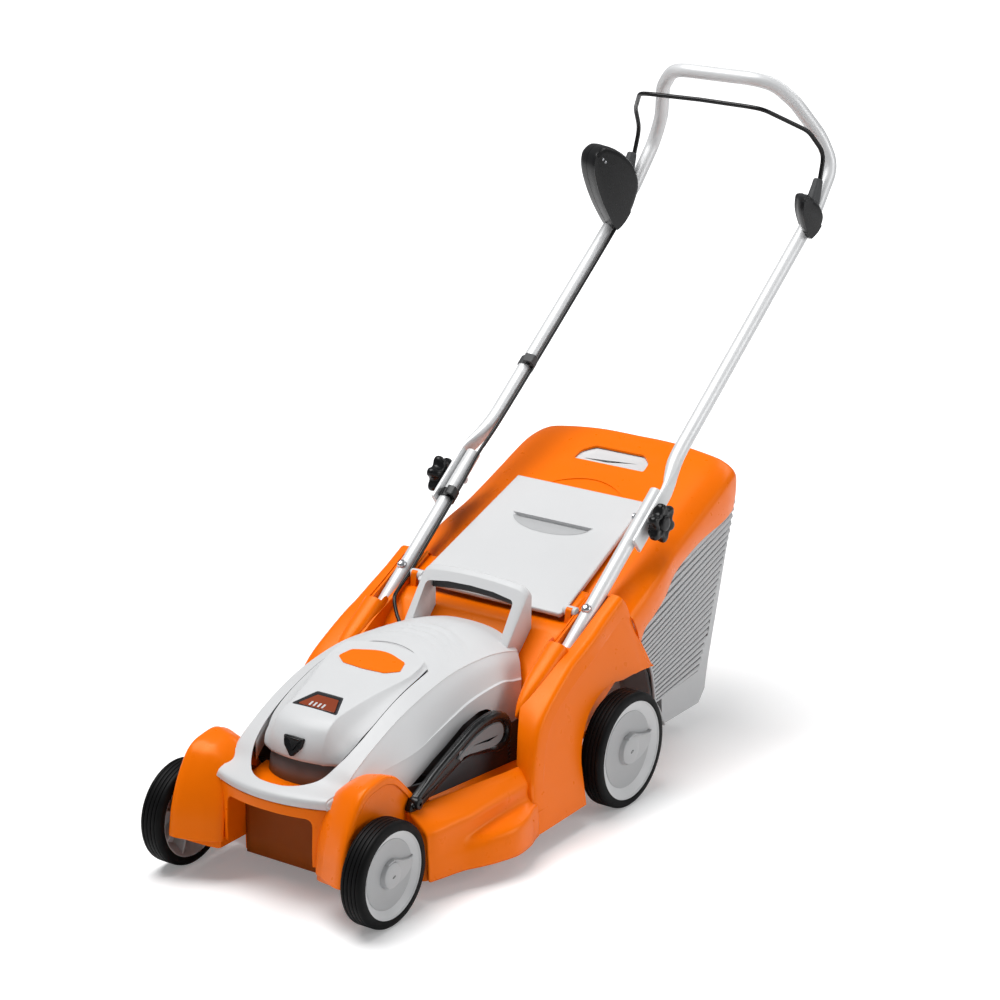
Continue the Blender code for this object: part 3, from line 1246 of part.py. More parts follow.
def make_upper_handle(material, body):
    path, sizes = [], []
    flat = (FLAT_THICK / 2, FLAT_HEIGHT / 2)
    full = (TUBE_RADIUS, TUBE_RADIUS)
    for along, x, size in ((-48, FLAT_CENTRE, flat), (-46, FLAT_CENTRE, flat), (50, FLAT_CENTRE, flat),
                           (56, FLAT_CENTRE - MM, (5 * MM, 13.6 * MM)),
                           (66, 176 * MM, (7.5 * MM, 12.6 * MM)), (78, 170 * MM, (9.8 * MM, 11.6 * MM)),
                           (92, TUBE_X, full)):
        path.append(tube_point(x, FOLD_ALONG + along * MM))
        sizes.append(size)
    bow = [tube_point(TUBE_X, 700 * MM), tube_point(TUBE_X, STRAIGHT_END)] + [Vector(p) for p in BOW]
    bend = fillet_path(bow, 26 * MM, 2)
    path += bend
    sizes += [full] * len(bend)
    handle = sweep_half("upper_handle", path, sizes, 10, TUBE_WALL)
    hole = BOLT_RADIUS + RUNNING_GAP
    for side in (1, -1):
        start = tube_point(150 * MM * side, FOLD_ALONG)
        end = tube_point(210 * MM * side, FOLD_ALONG)
        cut(handle, rod("hole", start, end, hole, 12))
    attach(handle, material, body)


def tube_bore(grow=GAP + 0.1 * MM):
    # The room of both upper tubes where the boxes clamp round them.
    bore = rod("bore", tube_point(TUBE_X, 600 * MM), tube_point(TUBE_X, STRAIGHT_END), TUBE_RADIUS + grow, 20)
    top = tube_point(TUBE_X, STRAIGHT_END)
    ahead = (Vector(BOW[0]) - top).normalized()
    second = rod("bore", top - ahead * 4 * MM, top + ahead * 60 * MM, TUBE_RADIUS + grow + MM, 20)
    return join(bore, second)


def make_controls(colours, handle, bail, button):
    # The switch box on the right, parted along the tube; its outer half carries the start button.
    outline = rounded(mm((561, 686, 6), (533, 706, 8), (524, 736, 10), (522, 770, 10), (528, 802, 10),
                         (546, 828, 10), (574, 818, 10), (606, 786, 6), (616, 779), (650, 779, 4),
                         (652, 766, 5), (612, 729)), 2)
    tool = mirrored_swap(tube_bore())
    inner = cushion("switch_box", outline, 'X', -166 * MM + GAP / 2, -142 * MM, 4 * MM, 2, (False, True))
    outer = cushion("switch_box_cover", outline, 'X', -190 * MM, -166 * MM - GAP / 2, 4 * MM, 2, (True, False))
    for half in (inner, outer):
        combine(half, tool, 'DIFFERENCE', keep=True)
    remove(tool)
    place = (-190 * MM, 552 * MM, 770 * MM)
    press = 10 * MM
    cut(outer, rod("well", (place[0] - 5 * MM, *place[1:]), (place[0] + 12 * MM, *place[1:]),
                   press + RUNNING_GAP, 20))
    knob = turned("start_button", [(0, 4 * MM), (press - 2 * MM, 4 * MM), (press, 2 * MM), (press, -7 * MM),
                                   (0, -7 * MM)], 20, 'X')
    mirrored_swap(knob)
    attach(shift(knob, *place), colours["orange"], button)
    for index in range(2):
        dot = rod("dot", (-143 * MM, (552 + 14 * index) * MM, (806 - 2 * index) * MM),
                  (-140.6 * MM, (552 + 14 * index) * MM, (806 - 2 * index) * MM), 2.5 * MM, 10)
        join(inner, dot)
    lead = rod("lead", tube_point(-155 * MM, 700 * MM, 13 * MM), tube_point(-155 * MM, 773 * MM, 13 * MM),
               CABLE_RADIUS + 0.4 * MM, 12)
    cut(inner, lead)
    attach(inner, colours["black"], handle)
    attach(outer, colours["black"], handle)
    egg = rounded(mm((606, 706, 8), (640, 745, 10), (653, 766, 6), (651, 779, 4), (614, 779, 10),
                     (596, 745, 12), (592, 714, 10)), 2)
    box = cushion("pivot_box", egg, 'X', 148 * MM, 186 * MM, 4 * MM)
    cut(box, tube_bore())
    attach(box, colours["black"], handle)

    # Bail: a rod pivoting in two rubber boots
    half = mm((171, 631, 783), (169.5, 650, 839), (158, 620, 878), (112, 560, 917), (89, 553, 920), (0, 558, 920))
    points = half + [(-x, y, z) for x, y, z in reversed(half[:-1])]
    attach(tube("bail", fillet_path(points, 9 * MM, 2), BAIL_RADIUS, 2), colours["black"], bail)
    boot = rounded(mm((620, 779.3), (641.5, 779.3), (648, 789, 3), (622, 791, 4)), 2)
    boots = cushion("bail_boot_left", boot, 'X', 171 * MM - 9 * MM, 171 * MM + 9 * MM, 2 * MM, 1)
    slot = BAIL_RADIUS + MM
    cut(boots, block("slot", (171 * MM - slot, 626 * MM, 760 * MM), (171 * MM + slot, 643 * MM, 800 * MM)))
    attach(mirrored_copy(boots, "bail_boot_right"), colours["rubber"], handle)
    attach(boots, colours["rubber"], handle)


def make_cable(colours, handle, body):
    # One lead in two lengths that meet at the fold: from the housing up the right-hand tube.
    def beside(x, along, normal):
        return tuple(tube_point(x * MM, along * MM, normal * MM))
    route = mm((-99, -205.6, 111), (-99, -180, 113), (-97, -152, 150), (-97, -128, 204), (-98, -104, 215),
               (-98.5, -84, 226), (-101, -66, 242), (-115, -53, 258), (-136, -49, 270))
    route += [beside(-148, 30, 25), beside(-152, 80, 20), beside(-154, 150, 13), beside(-154.5, 200, 13),
              beside(-154.5, 247, 13), beside(-154.5, FOLD_ALONG / MM + 49.5, 13)]
    attach(tube("cable_lower", smooth_path([Vector(p) for p in route], 3), CABLE_RADIUS, 2),
           colours["cable"], body)
    route = [beside(-154.5, FOLD_ALONG / MM + 52, 13), beside(-155, 360, 13), beside(-155, 600, 13),
             beside(-155, 772, 13)]
    attach(tube("cable_upper", smooth_path([Vector(p) for p in route], 3), CABLE_RADIUS, 2),
           colours["cable"], handle)
    ring = TUBE_RADIUS + GAP
    lead = CABLE_RADIUS + GAP
    clip = rod("cable_clip", (-TUBE_X, 469 * MM, 0), (-TUBE_X, 483 * MM, 0), ring + 2.2 * MM, 20)
    holder = [(-165 * MM, -4 * MM), (-146 * MM, 4 * MM), (-146 * MM, 19 * MM), (-164 * MM, 21 * MM)]
    holder = slab("holder", rounded([(x, z, 3 * MM) for x, z in holder], 2), 'Y', 469 * MM, 483 * MM)
    join(clip, holder)
    cut(clip, rod("bore", (-TUBE_X, 400 * MM, 0), (-TUBE_X, 500 * MM, 0), ring, 20))
    cut(clip, rod("lead", (-155 * MM, 400 * MM, 13 * MM), (-155 * MM, 500 * MM, 13 * MM), lead, 12))
    attach(along_tube(clip), colours["dark"], handle)
    start, end = FOLD_ALONG - 41 * MM, FOLD_ALONG - 27 * MM
    hook = rod("cable_hook", (-TUBE_X, start, 0), (-TUBE_X, end, 0), ring + 2.2 * MM, 20)
    arm = rounded(mm((-166, -4, 2), (-147, 2, 3), (-146, 21, 4), (-160, 22, 4)), 2)
    join(hook, slab("arm", arm, 'Y', start, end))
    before, after = start - 5 * MM, end + 5 * MM
    cut(hook, rod("bore", (-TUBE_X, before, 0), (-TUBE_X, after, 0), ring, 20))
    cut(hook, rod("lead", (-154.3 * MM, before, 13 * MM), (-154.3 * MM, after, 13 * MM), lead + 0.2 * MM, 12))
    cut(hook, block("open_side", (-200 * MM, before, -40 * MM), (-176 * MM, after, 40 * MM)))
    attach(along_tube(hook), colours["black"], body)


# The mower

def main():
    clear_scene()
    orange = paint("orange_paint", (0.85, 0.16, 0.01), 0.3)
    light = paint("light_grey_plastic", (0.72, 0.74, 0.75), 0.4)
    dark = paint("dark_grey_plastic", (0.07, 0.075, 0.08), 0.5)
    black = paint("black_plastic", (0.015, 0.015, 0.017), 0.35)
    rubber = paint("tyre_rubber", (0.02, 0.02, 0.02), 0.7)
    rim = paint("wheel_plastic", (0.55, 0.56, 0.57), 0.45)
    cap = paint("cap_plastic", (0.35, 0.36, 0.38), 0.45)
    basket = paint("basket_plastic", (0.55, 0.56, 0.56), 0.5)
    silver = paint("silver_tube", (0.8, 0.8, 0.8), 0.3, 1.0)
    steel = paint("steel", (0.6, 0.6, 0.62), 0.3, 1.0)
    red = paint("red_plastic", (0.5, 0.02, 0.01), 0.4)
    window = paint("window_plastic", (0.05, 0.03, 0.03), 0.15)

    mower = pivot("mower")
    mower.location = (0, ORIGIN_SHIFT, 0)
    rotor = pivot("blade_rotor", (0, BLADE_Y, BLADE_LOW), mower)
    front = pivot("front_axle_turn", (0, *FRONT_PIVOT), mower)
    rear = pivot("rear_axle_turn", (0, *REAR_PIVOT), mower)
    lever = pivot("height_lever_turn", (0, *LEVER_PIVOT), mower)
    fold = pivot("handle_fold", tube_point(0, FOLD_ALONG), mower)
    bail = pivot("bail_turn", mm((0, 631, 783))[0], fold)
    button = pivot("start_button_slide", mm((-190, 552, 770))[0], fold)
    cover = pivot("cover_turn", (0, COVER_REAR + 0.5 * MM, 276 * MM), mower)
    latch = pivot("latch_slide", (0, FRONT_AXLE_Y + 53 * MM, 214 * MM), cover)
    flap = pivot("flap_turn", (0, FLAP_HINGE_Y, FLAP_HINGE_Z), mower)
    catcher = pivot("catcher_slide", mm((0, 230, 200))[0], mower)

    wheels = {"rubber": rubber, "rim": rim, "cap": cap}
    places = (("front", front, FRONT_WHEEL_X, FRONT_AXLE_Y, FRONT_WHEEL_RADIUS),
              ("rear", rear, REAR_WHEEL_X, 0.0, REAR_WHEEL_RADIUS))
    for place, parent, x, y, radius in places:
        for side, hand in ((1, "left"), (-1, "right")):
            name = place + "_" + hand
            body = pivot(name + "_roll", (side * x, y, radius), parent)
            make_wheel(name, radius, body, side, wheels)
    make_axle("front_axle", FRONT_PIVOT, FRONT_AXLE_BAR_HALF - 6 * MM, 140 * MM,
              FRONT_TRACK_HALF - 5 * MM, steel, front)
    make_axle("rear_axle", REAR_PIVOT, REAR_AXLE_BAR_HALF - 8 * MM, 168 * MM,
              REAR_TRACK_HALF - 5 * MM, steel, rear)

    make_deck(orange, mower)
    make_base(dark, mower)
    make_housing(light, mower)
    make_carry_handle(light, mower)
    make_drive({"motor": dark, "steel": steel, "dark": dark}, rotor, mower)
    make_power({"dark": dark, "battery": black, "red": red, "metal": steel}, mower)
    make_cover({"light": light, "window": window, "orange": orange, "black": black}, cover, latch, mower)
    make_lever({"black": black, "dark": dark}, lever, mower)
    make_flap(light, steel, flap, mower)
    make_catcher({"orange": orange, "light": light, "basket": basket}, catcher)
    make_lower_tubes({"tube": silver, "steel": steel}, mower)
    make_upper_handle(silver, fold)
    for side, hand in ((1, "left"), (-1, "right")):
        centre = tube_point(side * 198 * MM, FOLD_ALONG)
        make_knob(side, black, pivot("knob_" + hand + "_turn", centre, mower))
    make_controls({"black": black, "orange": orange, "rubber": rubber}, fold, bail, button)
    make_cable({"cable": black, "dark": dark, "black": black}, fold, mower)


main()
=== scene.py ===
# %% [markdown]
# # A cordless lawn mower, dressed from its solid parts
#
# The mower stands on its four wheels with the grass catcher hung on behind and the handle folded
# out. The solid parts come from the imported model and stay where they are. This lesson gives each
# of them its finish, and builds finer pieces where moulding, ribs or a bent tube need more shape.

# %% Load the solid parts
import json
import math

import bmesh
import bpy
from mathutils import Matrix, Vector
from mathutils.bvhtree import BVHTree


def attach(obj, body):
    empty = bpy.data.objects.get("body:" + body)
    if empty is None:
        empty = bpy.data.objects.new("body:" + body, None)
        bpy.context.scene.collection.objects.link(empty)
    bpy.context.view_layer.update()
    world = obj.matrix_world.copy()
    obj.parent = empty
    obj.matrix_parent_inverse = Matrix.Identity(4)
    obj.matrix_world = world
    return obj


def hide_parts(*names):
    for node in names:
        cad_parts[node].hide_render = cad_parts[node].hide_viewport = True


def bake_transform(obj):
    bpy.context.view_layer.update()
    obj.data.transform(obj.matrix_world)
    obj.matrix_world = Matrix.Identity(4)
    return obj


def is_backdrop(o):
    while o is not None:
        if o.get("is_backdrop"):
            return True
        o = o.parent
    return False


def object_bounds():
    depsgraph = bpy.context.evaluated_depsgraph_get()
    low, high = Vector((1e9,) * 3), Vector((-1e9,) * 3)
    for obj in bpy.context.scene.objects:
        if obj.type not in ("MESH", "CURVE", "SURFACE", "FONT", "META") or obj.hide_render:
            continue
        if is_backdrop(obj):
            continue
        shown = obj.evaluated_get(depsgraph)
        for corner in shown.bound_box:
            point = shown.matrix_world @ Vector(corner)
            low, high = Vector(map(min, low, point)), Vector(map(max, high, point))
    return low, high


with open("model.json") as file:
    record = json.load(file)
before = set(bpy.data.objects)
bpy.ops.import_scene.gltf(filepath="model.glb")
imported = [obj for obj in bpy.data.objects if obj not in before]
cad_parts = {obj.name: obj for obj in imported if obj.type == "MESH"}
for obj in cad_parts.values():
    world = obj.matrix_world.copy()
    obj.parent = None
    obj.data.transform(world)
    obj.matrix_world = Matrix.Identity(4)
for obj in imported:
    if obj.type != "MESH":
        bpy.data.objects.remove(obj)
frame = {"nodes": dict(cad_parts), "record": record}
cad_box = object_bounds()
print("box of the solids:", [round(v, 4) for corner in cad_box for v in corner])

# %% [markdown]
# ## One ruler for every piece
#
# Every length below is in millimetres and every y is counted from the rear wheels' axis, which is
# how a mower is measured in the workshop. One small function turns such a point into Blender's
# metres, so that no piece has to repeat the shift to the middle of the machine.

# %% Points in millimetres
MM = 0.001
REAR_AXIS_Y = -57.4
HANDS = (("left", 1), ("right", -1))


def at(x, y, z):
    return Vector((x, y + REAR_AXIS_Y, z)) * MM


print("rear wheels' axis lies at", at(0, 0, 87))

# %% [markdown]
# ## The camera
#
# The machine is seen from the front and its left, from a little above, through a long lens. The
# camera is set by its own three directions: the one it looks back along, and the picture's right
# and up, turned by a fraction of a degree.

# %% Camera
AROUND, ABOVE, TILT = (math.radians(v) for v in (35.2829, 18.8707, -0.3775))
back = Vector((math.sin(AROUND) * math.cos(ABOVE), -math.cos(AROUND) * math.cos(ABOVE), math.sin(ABOVE)))
level = Vector((0, 0, 1)).cross(back).normalized()
upright = back.cross(level)
right = level * math.cos(TILT) + upright * math.sin(TILT)
up = upright * math.cos(TILT) - level * math.sin(TILT)
lens = bpy.data.cameras.new("camera")
lens.lens = 110.19
lens.sensor_width = 36
camera = bpy.data.objects.new("camera", lens)
bpy.context.scene.collection.objects.link(camera)
turned_so = Matrix((right, up, back)).transposed().to_4x4()
camera.matrix_world = Matrix.Translation((2.44428, -3.49600, 1.86619)) @ turned_so
bpy.context.scene.camera = camera
print("camera stands", round(camera.location.length, 2), "m from the middle of the mower")

# %% [markdown]
# ## Floor and light
#
# A white sweep keeps the eye on the mower. The floor is a plain pale material that takes shadow and
# glows a little with distance; the world is white for the camera and dim for the paint. A large
# soft lamp overhead does the modelling, a second one lights the side that is seen, and a weak one
# behind draws the edges.

# %% Floor, world and lamps
scene = bpy.context.scene
scene.view_settings.view_transform = 'Standard'


def add_node(tree, kind, inputs=None, **settings):
    # A shader node whose inputs are numbers, colours or the outputs of other nodes.
    node = tree.nodes.new(kind)
    for name, value in settings.items():
        setattr(node, name, value)
    for socket, value in (inputs or {}).items():
        if isinstance(value, bpy.types.NodeSocket):
            tree.links.new(value, node.inputs[socket])
        else:
            node.inputs[socket].default_value = value
    return node


floor_sheet = bpy.data.meshes.new("floor")
floor_sheet.from_pydata([(-40, -40, 0), (40, -40, 0), (40, 40, 0), (-40, 40, 0)], [], [(0, 1, 2, 3)])
floor = bpy.data.objects.new("floor", floor_sheet)
scene.collection.objects.link(floor)
paper = bpy.data.materials.new("floor_paper")
paper.use_nodes = True
tree = paper.node_tree
tree.nodes.clear()
matt = add_node(tree, "ShaderNodeBsdfDiffuse", {"Color": (0.9, 0.9, 0.9, 1)}).outputs[0]
spot = add_node(tree, "ShaderNodeTexCoord").outputs["Object"]
away = add_node(tree, "ShaderNodeVectorMath", {0: spot}, operation='LENGTH').outputs["Value"]
rise = add_node(tree, "ShaderNodeMapRange", {"Value": away, "From Min": 0.7, "From Max": 3.0, "To Min": 0.2,
                                             "To Max": 1.0})
glow = add_node(tree, "ShaderNodeEmission", {"Strength": rise.outputs[0]}).outputs[0]
both = add_node(tree, "ShaderNodeAddShader", {0: matt, 1: glow}).outputs[0]
seen = add_node(tree, "ShaderNodeLightPath").outputs["Is Camera Ray"]
pick = add_node(tree, "ShaderNodeMixShader", {0: seen, 1: matt, 2: both})
add_node(tree, "ShaderNodeOutputMaterial", {"Surface": pick.outputs[0]})
floor_sheet.materials.append(paper)
floor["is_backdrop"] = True

world = bpy.data.worlds.new("studio")
scene.world = world
world.use_nodes = True
tree = world.node_tree
soft = tree.nodes["Background"]
soft.inputs["Color"].default_value = (0.95, 0.97, 1.0, 1)
soft.inputs["Strength"].default_value = 0.2
white = add_node(tree, "ShaderNodeBackground", {"Color": (1, 1, 1, 1), "Strength": 1.0})
seen = add_node(tree, "ShaderNodeLightPath").outputs
either = add_node(tree, "ShaderNodeMath", {0: seen["Is Camera Ray"], 1: seen["Is Transmission Ray"]},
                  operation='MAXIMUM')
pick = add_node(tree, "ShaderNodeMixShader", {0: either.outputs[0], 1: soft.outputs[0], 2: white.outputs[0]})
tree.links.new(pick.outputs[0], tree.nodes["World Output"].inputs["Surface"])


def soft_lamp(name, place, aim, size, power):
    lamp = bpy.data.lights.new(name, 'AREA')
    lamp.shape = 'RECTANGLE'
    lamp.size, lamp.size_y = size
    lamp.energy = power
    thing = bpy.data.objects.new(name, lamp)
    scene.collection.objects.link(thing)
    thing.location = place
    thing.rotation_euler = (Vector(aim) - Vector(place)).to_track_quat('-Z', 'Y').to_euler()


soft_lamp("key", (-0.9, -0.7, 3.9), (0, 0, 0.2), (2.8, 2.8), 182)
soft_lamp("fill", (3.6, 1.3, 1.5), (0, 0, 0.3), (2.0, 2.0), 52)
soft_lamp("rim", (0.6, 3.2, 2.8), (0, 0, 0.4), (2.4, 1.2), 22)

# %% [markdown]
# ## A recipe for moulded and painted surfaces
#
# No moulded part is one flat colour. A wide, weak cloud shifts the tone, a finer one the gloss, and
# a grain of about a millimetre breaks the highlight. All of it is computed from the part's own
# coordinates, so that it moves with the part and needs no picture.

# %% Finish recipe


def cloud(tree, place, scale, detail=3.0):
    return add_node(tree, "ShaderNodeTexNoise", {"Vector": place, "Scale": scale, "Detail": detail}).outputs["Fac"]


def finish(name, colour, tone, gloss, grain, depth, fixed):
    # tone is the second colour of the wide cloud, gloss the lowest and highest roughness, grain the
    # number of grains in a metre and depth their height in micrometres. fixed holds plain values.
    material = bpy.data.materials.new(name)
    material.use_nodes = True
    tree = material.node_tree
    shader = tree.nodes["Principled BSDF"]
    place = add_node(tree, "ShaderNodeTexCoord").outputs["Object"]
    base = add_node(tree, "ShaderNodeMix", {"Factor": cloud(tree, place, 9.0), 6: (*colour, 1), 7: (*tone, 1)},
                    data_type='RGBA')
    rough = add_node(tree, "ShaderNodeMapRange", {"Value": cloud(tree, place, 60.0), "From Min": 0.3, "From Max": 0.7,
                                                  "To Min": gloss[0], "To Max": gloss[1]})
    bump = add_node(tree, "ShaderNodeBump", {"Strength": 0.6, "Distance": depth * 0.000001,
                                             "Height": cloud(tree, place, grain, 2.0)})
    for socket, output in (("Base Color", base.outputs[2]), ("Roughness", rough.outputs[0]),
                           ("Normal", bump.outputs[0])):
        tree.links.new(output, shader.inputs[socket])
    for socket, value in fixed.items():
        shader.inputs[socket].default_value = value
    return material


GLINT, METAL = "Specular IOR Level", "Metallic"
ORANGE, LIGHT, DARK, BLACK = "orange_paint", "light_grey_plastic", "dark_grey_plastic", "black_plastic"
MIDDLE, STEEL, SILVER, PALE = "mid_grey_and_painted_shade", "steel", "silver_tube", "basket_plastic"
RECIPES = {
    ORANGE: ((0.86, 0.15, 0.0), (0.9, 0.165, 0.0), (0.27, 0.34), 900, 1,
             {GLINT: 0.35, "Specular Tint": (1.0, 0.6, 0.25, 1)}),
    LIGHT: ((0.58, 0.585, 0.59), (0.61, 0.615, 0.62), (0.36, 0.46), 1400, 50, {GLINT: 0.35}),
    # Dark grey: plugs, boots and cap marks, and painted shade under the carry handle's bar.
    DARK: ((0.045, 0.046, 0.048), (0.06, 0.062, 0.064), (0.45, 0.6), 1500, 60, {GLINT: 0.3}),
    BLACK: ((0.004, 0.004, 0.0044), (0.007, 0.007, 0.0075), (0.24, 0.34), 1600, 40, {GLINT: 0.3}),
    "tyre_rubber": ((0.003, 0.003, 0.0032), (0.005, 0.005, 0.0052), (0.45, 0.58), 1100, 80, {GLINT: 0.1}),
    "wheel_plastic": ((0.55, 0.555, 0.56), (0.6, 0.605, 0.61), (0.34, 0.46), 1300, 40, {GLINT: 0.35}),
    "cap_plastic": ((0.4, 0.405, 0.41), (0.44, 0.445, 0.45), (0.3, 0.4), 1300, 30, {GLINT: 0.4}),
    # A darker grey than the flap: painted shade in the flap's half-moon recess.
    "moon_painted_shade": ((0.42, 0.425, 0.43), (0.44, 0.445, 0.45), (0.4, 0.5), 1400, 40, {GLINT: 0.3}),
    "disc_plastic": ((0.36, 0.365, 0.37), (0.4, 0.405, 0.41), (0.36, 0.46), 1300, 30, {GLINT: 0.4}),
    PALE: ((0.5, 0.505, 0.51), (0.55, 0.555, 0.56), (0.42, 0.55), 1200, 60, {GLINT: 0.3}),
    SILVER: ((0.64, 0.645, 0.65), (0.7, 0.705, 0.71), (0.36, 0.44), 1800, 20, {GLINT: 0.5, METAL: 0.2}),
    STEEL: ((0.56, 0.57, 0.6), (0.64, 0.65, 0.67), (0.2, 0.34), 1800, 20, {METAL: 1.0}),
    "red_plastic": ((0.5, 0.02, 0.012), (0.56, 0.03, 0.016), (0.36, 0.46), 1300, 50, {GLINT: 0.3}),
    "glass_rust": ((0.2, 0.035, 0.012), (0.26, 0.05, 0.016), (0.12, 0.2), 1300, 10, {GLINT: 0.4}),
    "window_plastic": ((0.03, 0.03, 0.032), (0.045, 0.045, 0.048), (0.16, 0.24), 1500, 10, {GLINT: 0.4}),
    # Mid grey: the lever's pad and the mouth's wall, and painted shade in the basket's slits and on its front wall.
    MIDDLE: ((0.16, 0.162, 0.165), (0.19, 0.192, 0.195), (0.42, 0.55), 1400, 50, {GLINT: 0.3}),
    # A dark orange-brown: painted shade for the deck's front recess.
    "recess_painted_shade": ((0.3, 0.06, 0.003), (0.2, 0.045, 0.005), (0.5, 0.6), 1500, 40, {GLINT: 0.1}),
}
FINISH = {name: finish(name, *recipe) for name, recipe in RECIPES.items()}
# Two finishes are darker copies of another one, painted as shade: the recess's of the orange, the half-moon's of the
# light grey.
print("finishes:", sorted(FINISH))

# %% [markdown]
# ## Dressing the solid parts
#
# A part that is already right in shape keeps its mesh and only gets its finish. The record says
# which finish belongs to which part, so nothing has to be listed twice. A moulded edge is never
# razor sharp: a narrow bevel, made as a modifier, catches the light along it.

# %% Give every solid its finish
SLOT = {part["node"]: part["material_slot"] for part in frame["record"]["subparts"]}
print("nodes with a slot:", len(SLOT))


def soften(thing, width=0.8, angle=32):
    # A bevel of so many millimetres along every edge that turns by more than the angle.
    thing.modifiers.new("weld", 'WELD').merge_threshold = 0.000002
    edge = thing.modifiers.new("edge", 'BEVEL')
    edge.width, edge.segments = width * MM, 2
    edge.limit_method, edge.angle_limit = 'ANGLE', math.radians(angle)
    thing.modifiers.new("even", 'WEIGHTED_NORMAL').keep_sharp = False


for name, node in frame["nodes"].items():
    node.data.materials.clear()
    node.data.materials.append(FINISH[SLOT[name]])
    soften(node)
print("dressed", len(frame["nodes"]), "solids")

# %% [markdown]
# ## Small tools for the finer pieces
#
# The finer pieces are made the way a pattern maker would: an outline is drawn through a few points,
# its corners are rounded, and it is swept, turned or stacked into a skin. Each finished piece rides
# on the body it is screwed to, and says which solids it stands in for.

# %% Outlines and skins


def spline(points, steps, closed=False):
    # A smooth line through the points, in any number of dimensions.
    points = [Vector(p) for p in points]
    count = len(points)
    line = []
    for k in range(count if closed else count - 1):
        ring = [points[(k + j) % count] if closed else points[min(max(k + j, 0), count - 1)] for j in (-1, 0, 1, 2)]
        for step in range(steps):
            t = step / steps
            line.append(0.5 * (2 * ring[1] + (ring[2] - ring[0]) * t
                               + (2 * ring[0] - 5 * ring[1] + 4 * ring[2] - ring[3]) * t * t
                               + (3 * ring[1] - ring[0] - 3 * ring[2] + ring[3]) * t ** 3))
    if not closed:
        line.append(points[-1])
    return line


def eased(points, radius, steps=8, closed=False):
    # A line of straight runs whose corners are turned into arcs.
    points = [Vector(p) for p in points]
    count = len(points)
    line = []
    for k, corner in enumerate(points):
        reach = radius[k] if isinstance(radius, (list, tuple)) else radius
        if (not closed and k in (0, count - 1)) or not reach:
            line.append(corner)
            continue
        before, after = points[k - 1] - corner, points[(k + 1) % count] - corner
        run = min(reach * math.tan((math.pi - before.angle(after)) / 2), 0.49 * before.length, 0.49 * after.length)
        first, last = corner + before.normalized() * run, corner + after.normalized() * run
        for step in range(steps + 1):
            t = step / steps
            line.append(first * (1 - t) ** 2 + corner * 2 * t * (1 - t) + last * t * t)
    return line


def circle(radius, count):
    turns = [2 * math.pi * n / count for n in range(count)]
    return [(radius * math.cos(turn), radius * math.sin(turn)) for turn in turns]


def stack(form, rings, closed=True, ends=True, around=False):
    # Joins each ring of points (world metres) to the next one.
    rows = [[form.verts.new(p) for p in ring] for ring in rings]
    for row, following in list(zip(rows, rows[1:])) + ([(rows[-1], rows[0])] if around else []):
        for j in range(len(row) if closed else len(row) - 1):
            nxt = (j + 1) % len(row)
            form.faces.new((row[j], row[nxt], following[nxt], following[j]))
    if ends and closed and not around:
        form.faces.new(rows[0])
        form.faces.new(rows[-1])


def shaded(form, mesh, crease=35):
    # Writes the form into the mesh, smooth but for edges that turn by more than the crease.
    for face in form.faces:
        face.smooth = True
    for edge in form.edges:
        edge.smooth = len(edge.link_faces) != 2 or edge.calc_face_angle() <= math.radians(crease)
    form.to_mesh(mesh)
    form.free()


def made(name, form, finish_name, body, replaces=(), crease=35):
    mesh = bpy.data.meshes.new(name)
    shaded(form, mesh, crease)
    mesh.materials.append(FINISH[finish_name])
    thing = bpy.data.objects.new(name, mesh)
    scene.collection.objects.link(thing)
    if body:
        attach(thing, body)
    if replaces:
        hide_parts(*replaces)
    return thing


def skin(name, rings, finish_name, body="mower_body", replaces=(), closed=True, ends=True, crease=35, around=False):
    form = bmesh.new()
    stack(form, rings, closed, ends, around)
    bmesh.ops.remove_doubles(form, verts=form.verts, dist=0.000001)
    bmesh.ops.recalc_face_normals(form, faces=form.faces)
    return made(name, form, finish_name, body, replaces, crease)


def settled(thing):
    # Works the modifiers into the mesh.
    graph = bpy.context.evaluated_depsgraph_get()
    mesh = bpy.data.meshes.new_from_object(thing.evaluated_get(graph))
    thing.modifiers.clear()
    thing.data = mesh
    return thing


def sheet(name, rows, finish_name, body="mower_body", replaces=(), wall=0.0, crease=35):
    # An open skin, given a wall of so many millimetres on its inner side.
    thing = skin(name, rows, finish_name, body, replaces, closed=False, ends=False, crease=crease)
    if wall:
        solid = thing.modifiers.new("wall", 'SOLIDIFY')
        solid.thickness, solid.offset = wall * MM, -1
        settled(thing)
    return thing


def turned(name, profile, centre, finish_name, body, replaces=(), side=1, sides=96):
    # A profile of (distance along X, radius) turned about X; the first and last point may lie on the axis.
    rings = [[Vector(centre) + Vector((side * x, r * a, r * b)) * MM for x, r in profile]
             for a, b in circle(1, sides)]
    return skin(name, rings, finish_name, body, replaces, ends=False, around=True)


def swept(name, path, sizes, finish_name, body="mower_body", replaces=(), sides=40, across=(1, 0, 0), square=2.0):
    # A rod along a path. sizes gives half-widths (across, upright) in millimetres, square its squareness.
    rings, wide = [], Vector(across)
    for k, point in enumerate(path):
        ahead = (path[min(k + 1, len(path) - 1)] - path[max(k - 1, 0)]).normalized()
        wide = (wide - ahead * wide.dot(ahead)).normalized()
        tall = ahead.cross(wide)
        size = sizes[k] if isinstance(sizes, list) else sizes
        a, b = size if isinstance(size, tuple) else (size, size)
        power = 2 / (square[k] if isinstance(square, list) else square)
        rings.append([point + wide * a * MM * math.copysign(abs(c) ** power, c)
                      + tall * b * MM * math.copysign(abs(s) ** power, s) for c, s in circle(1, sides)])
    return skin(name, rings, finish_name, body, replaces)


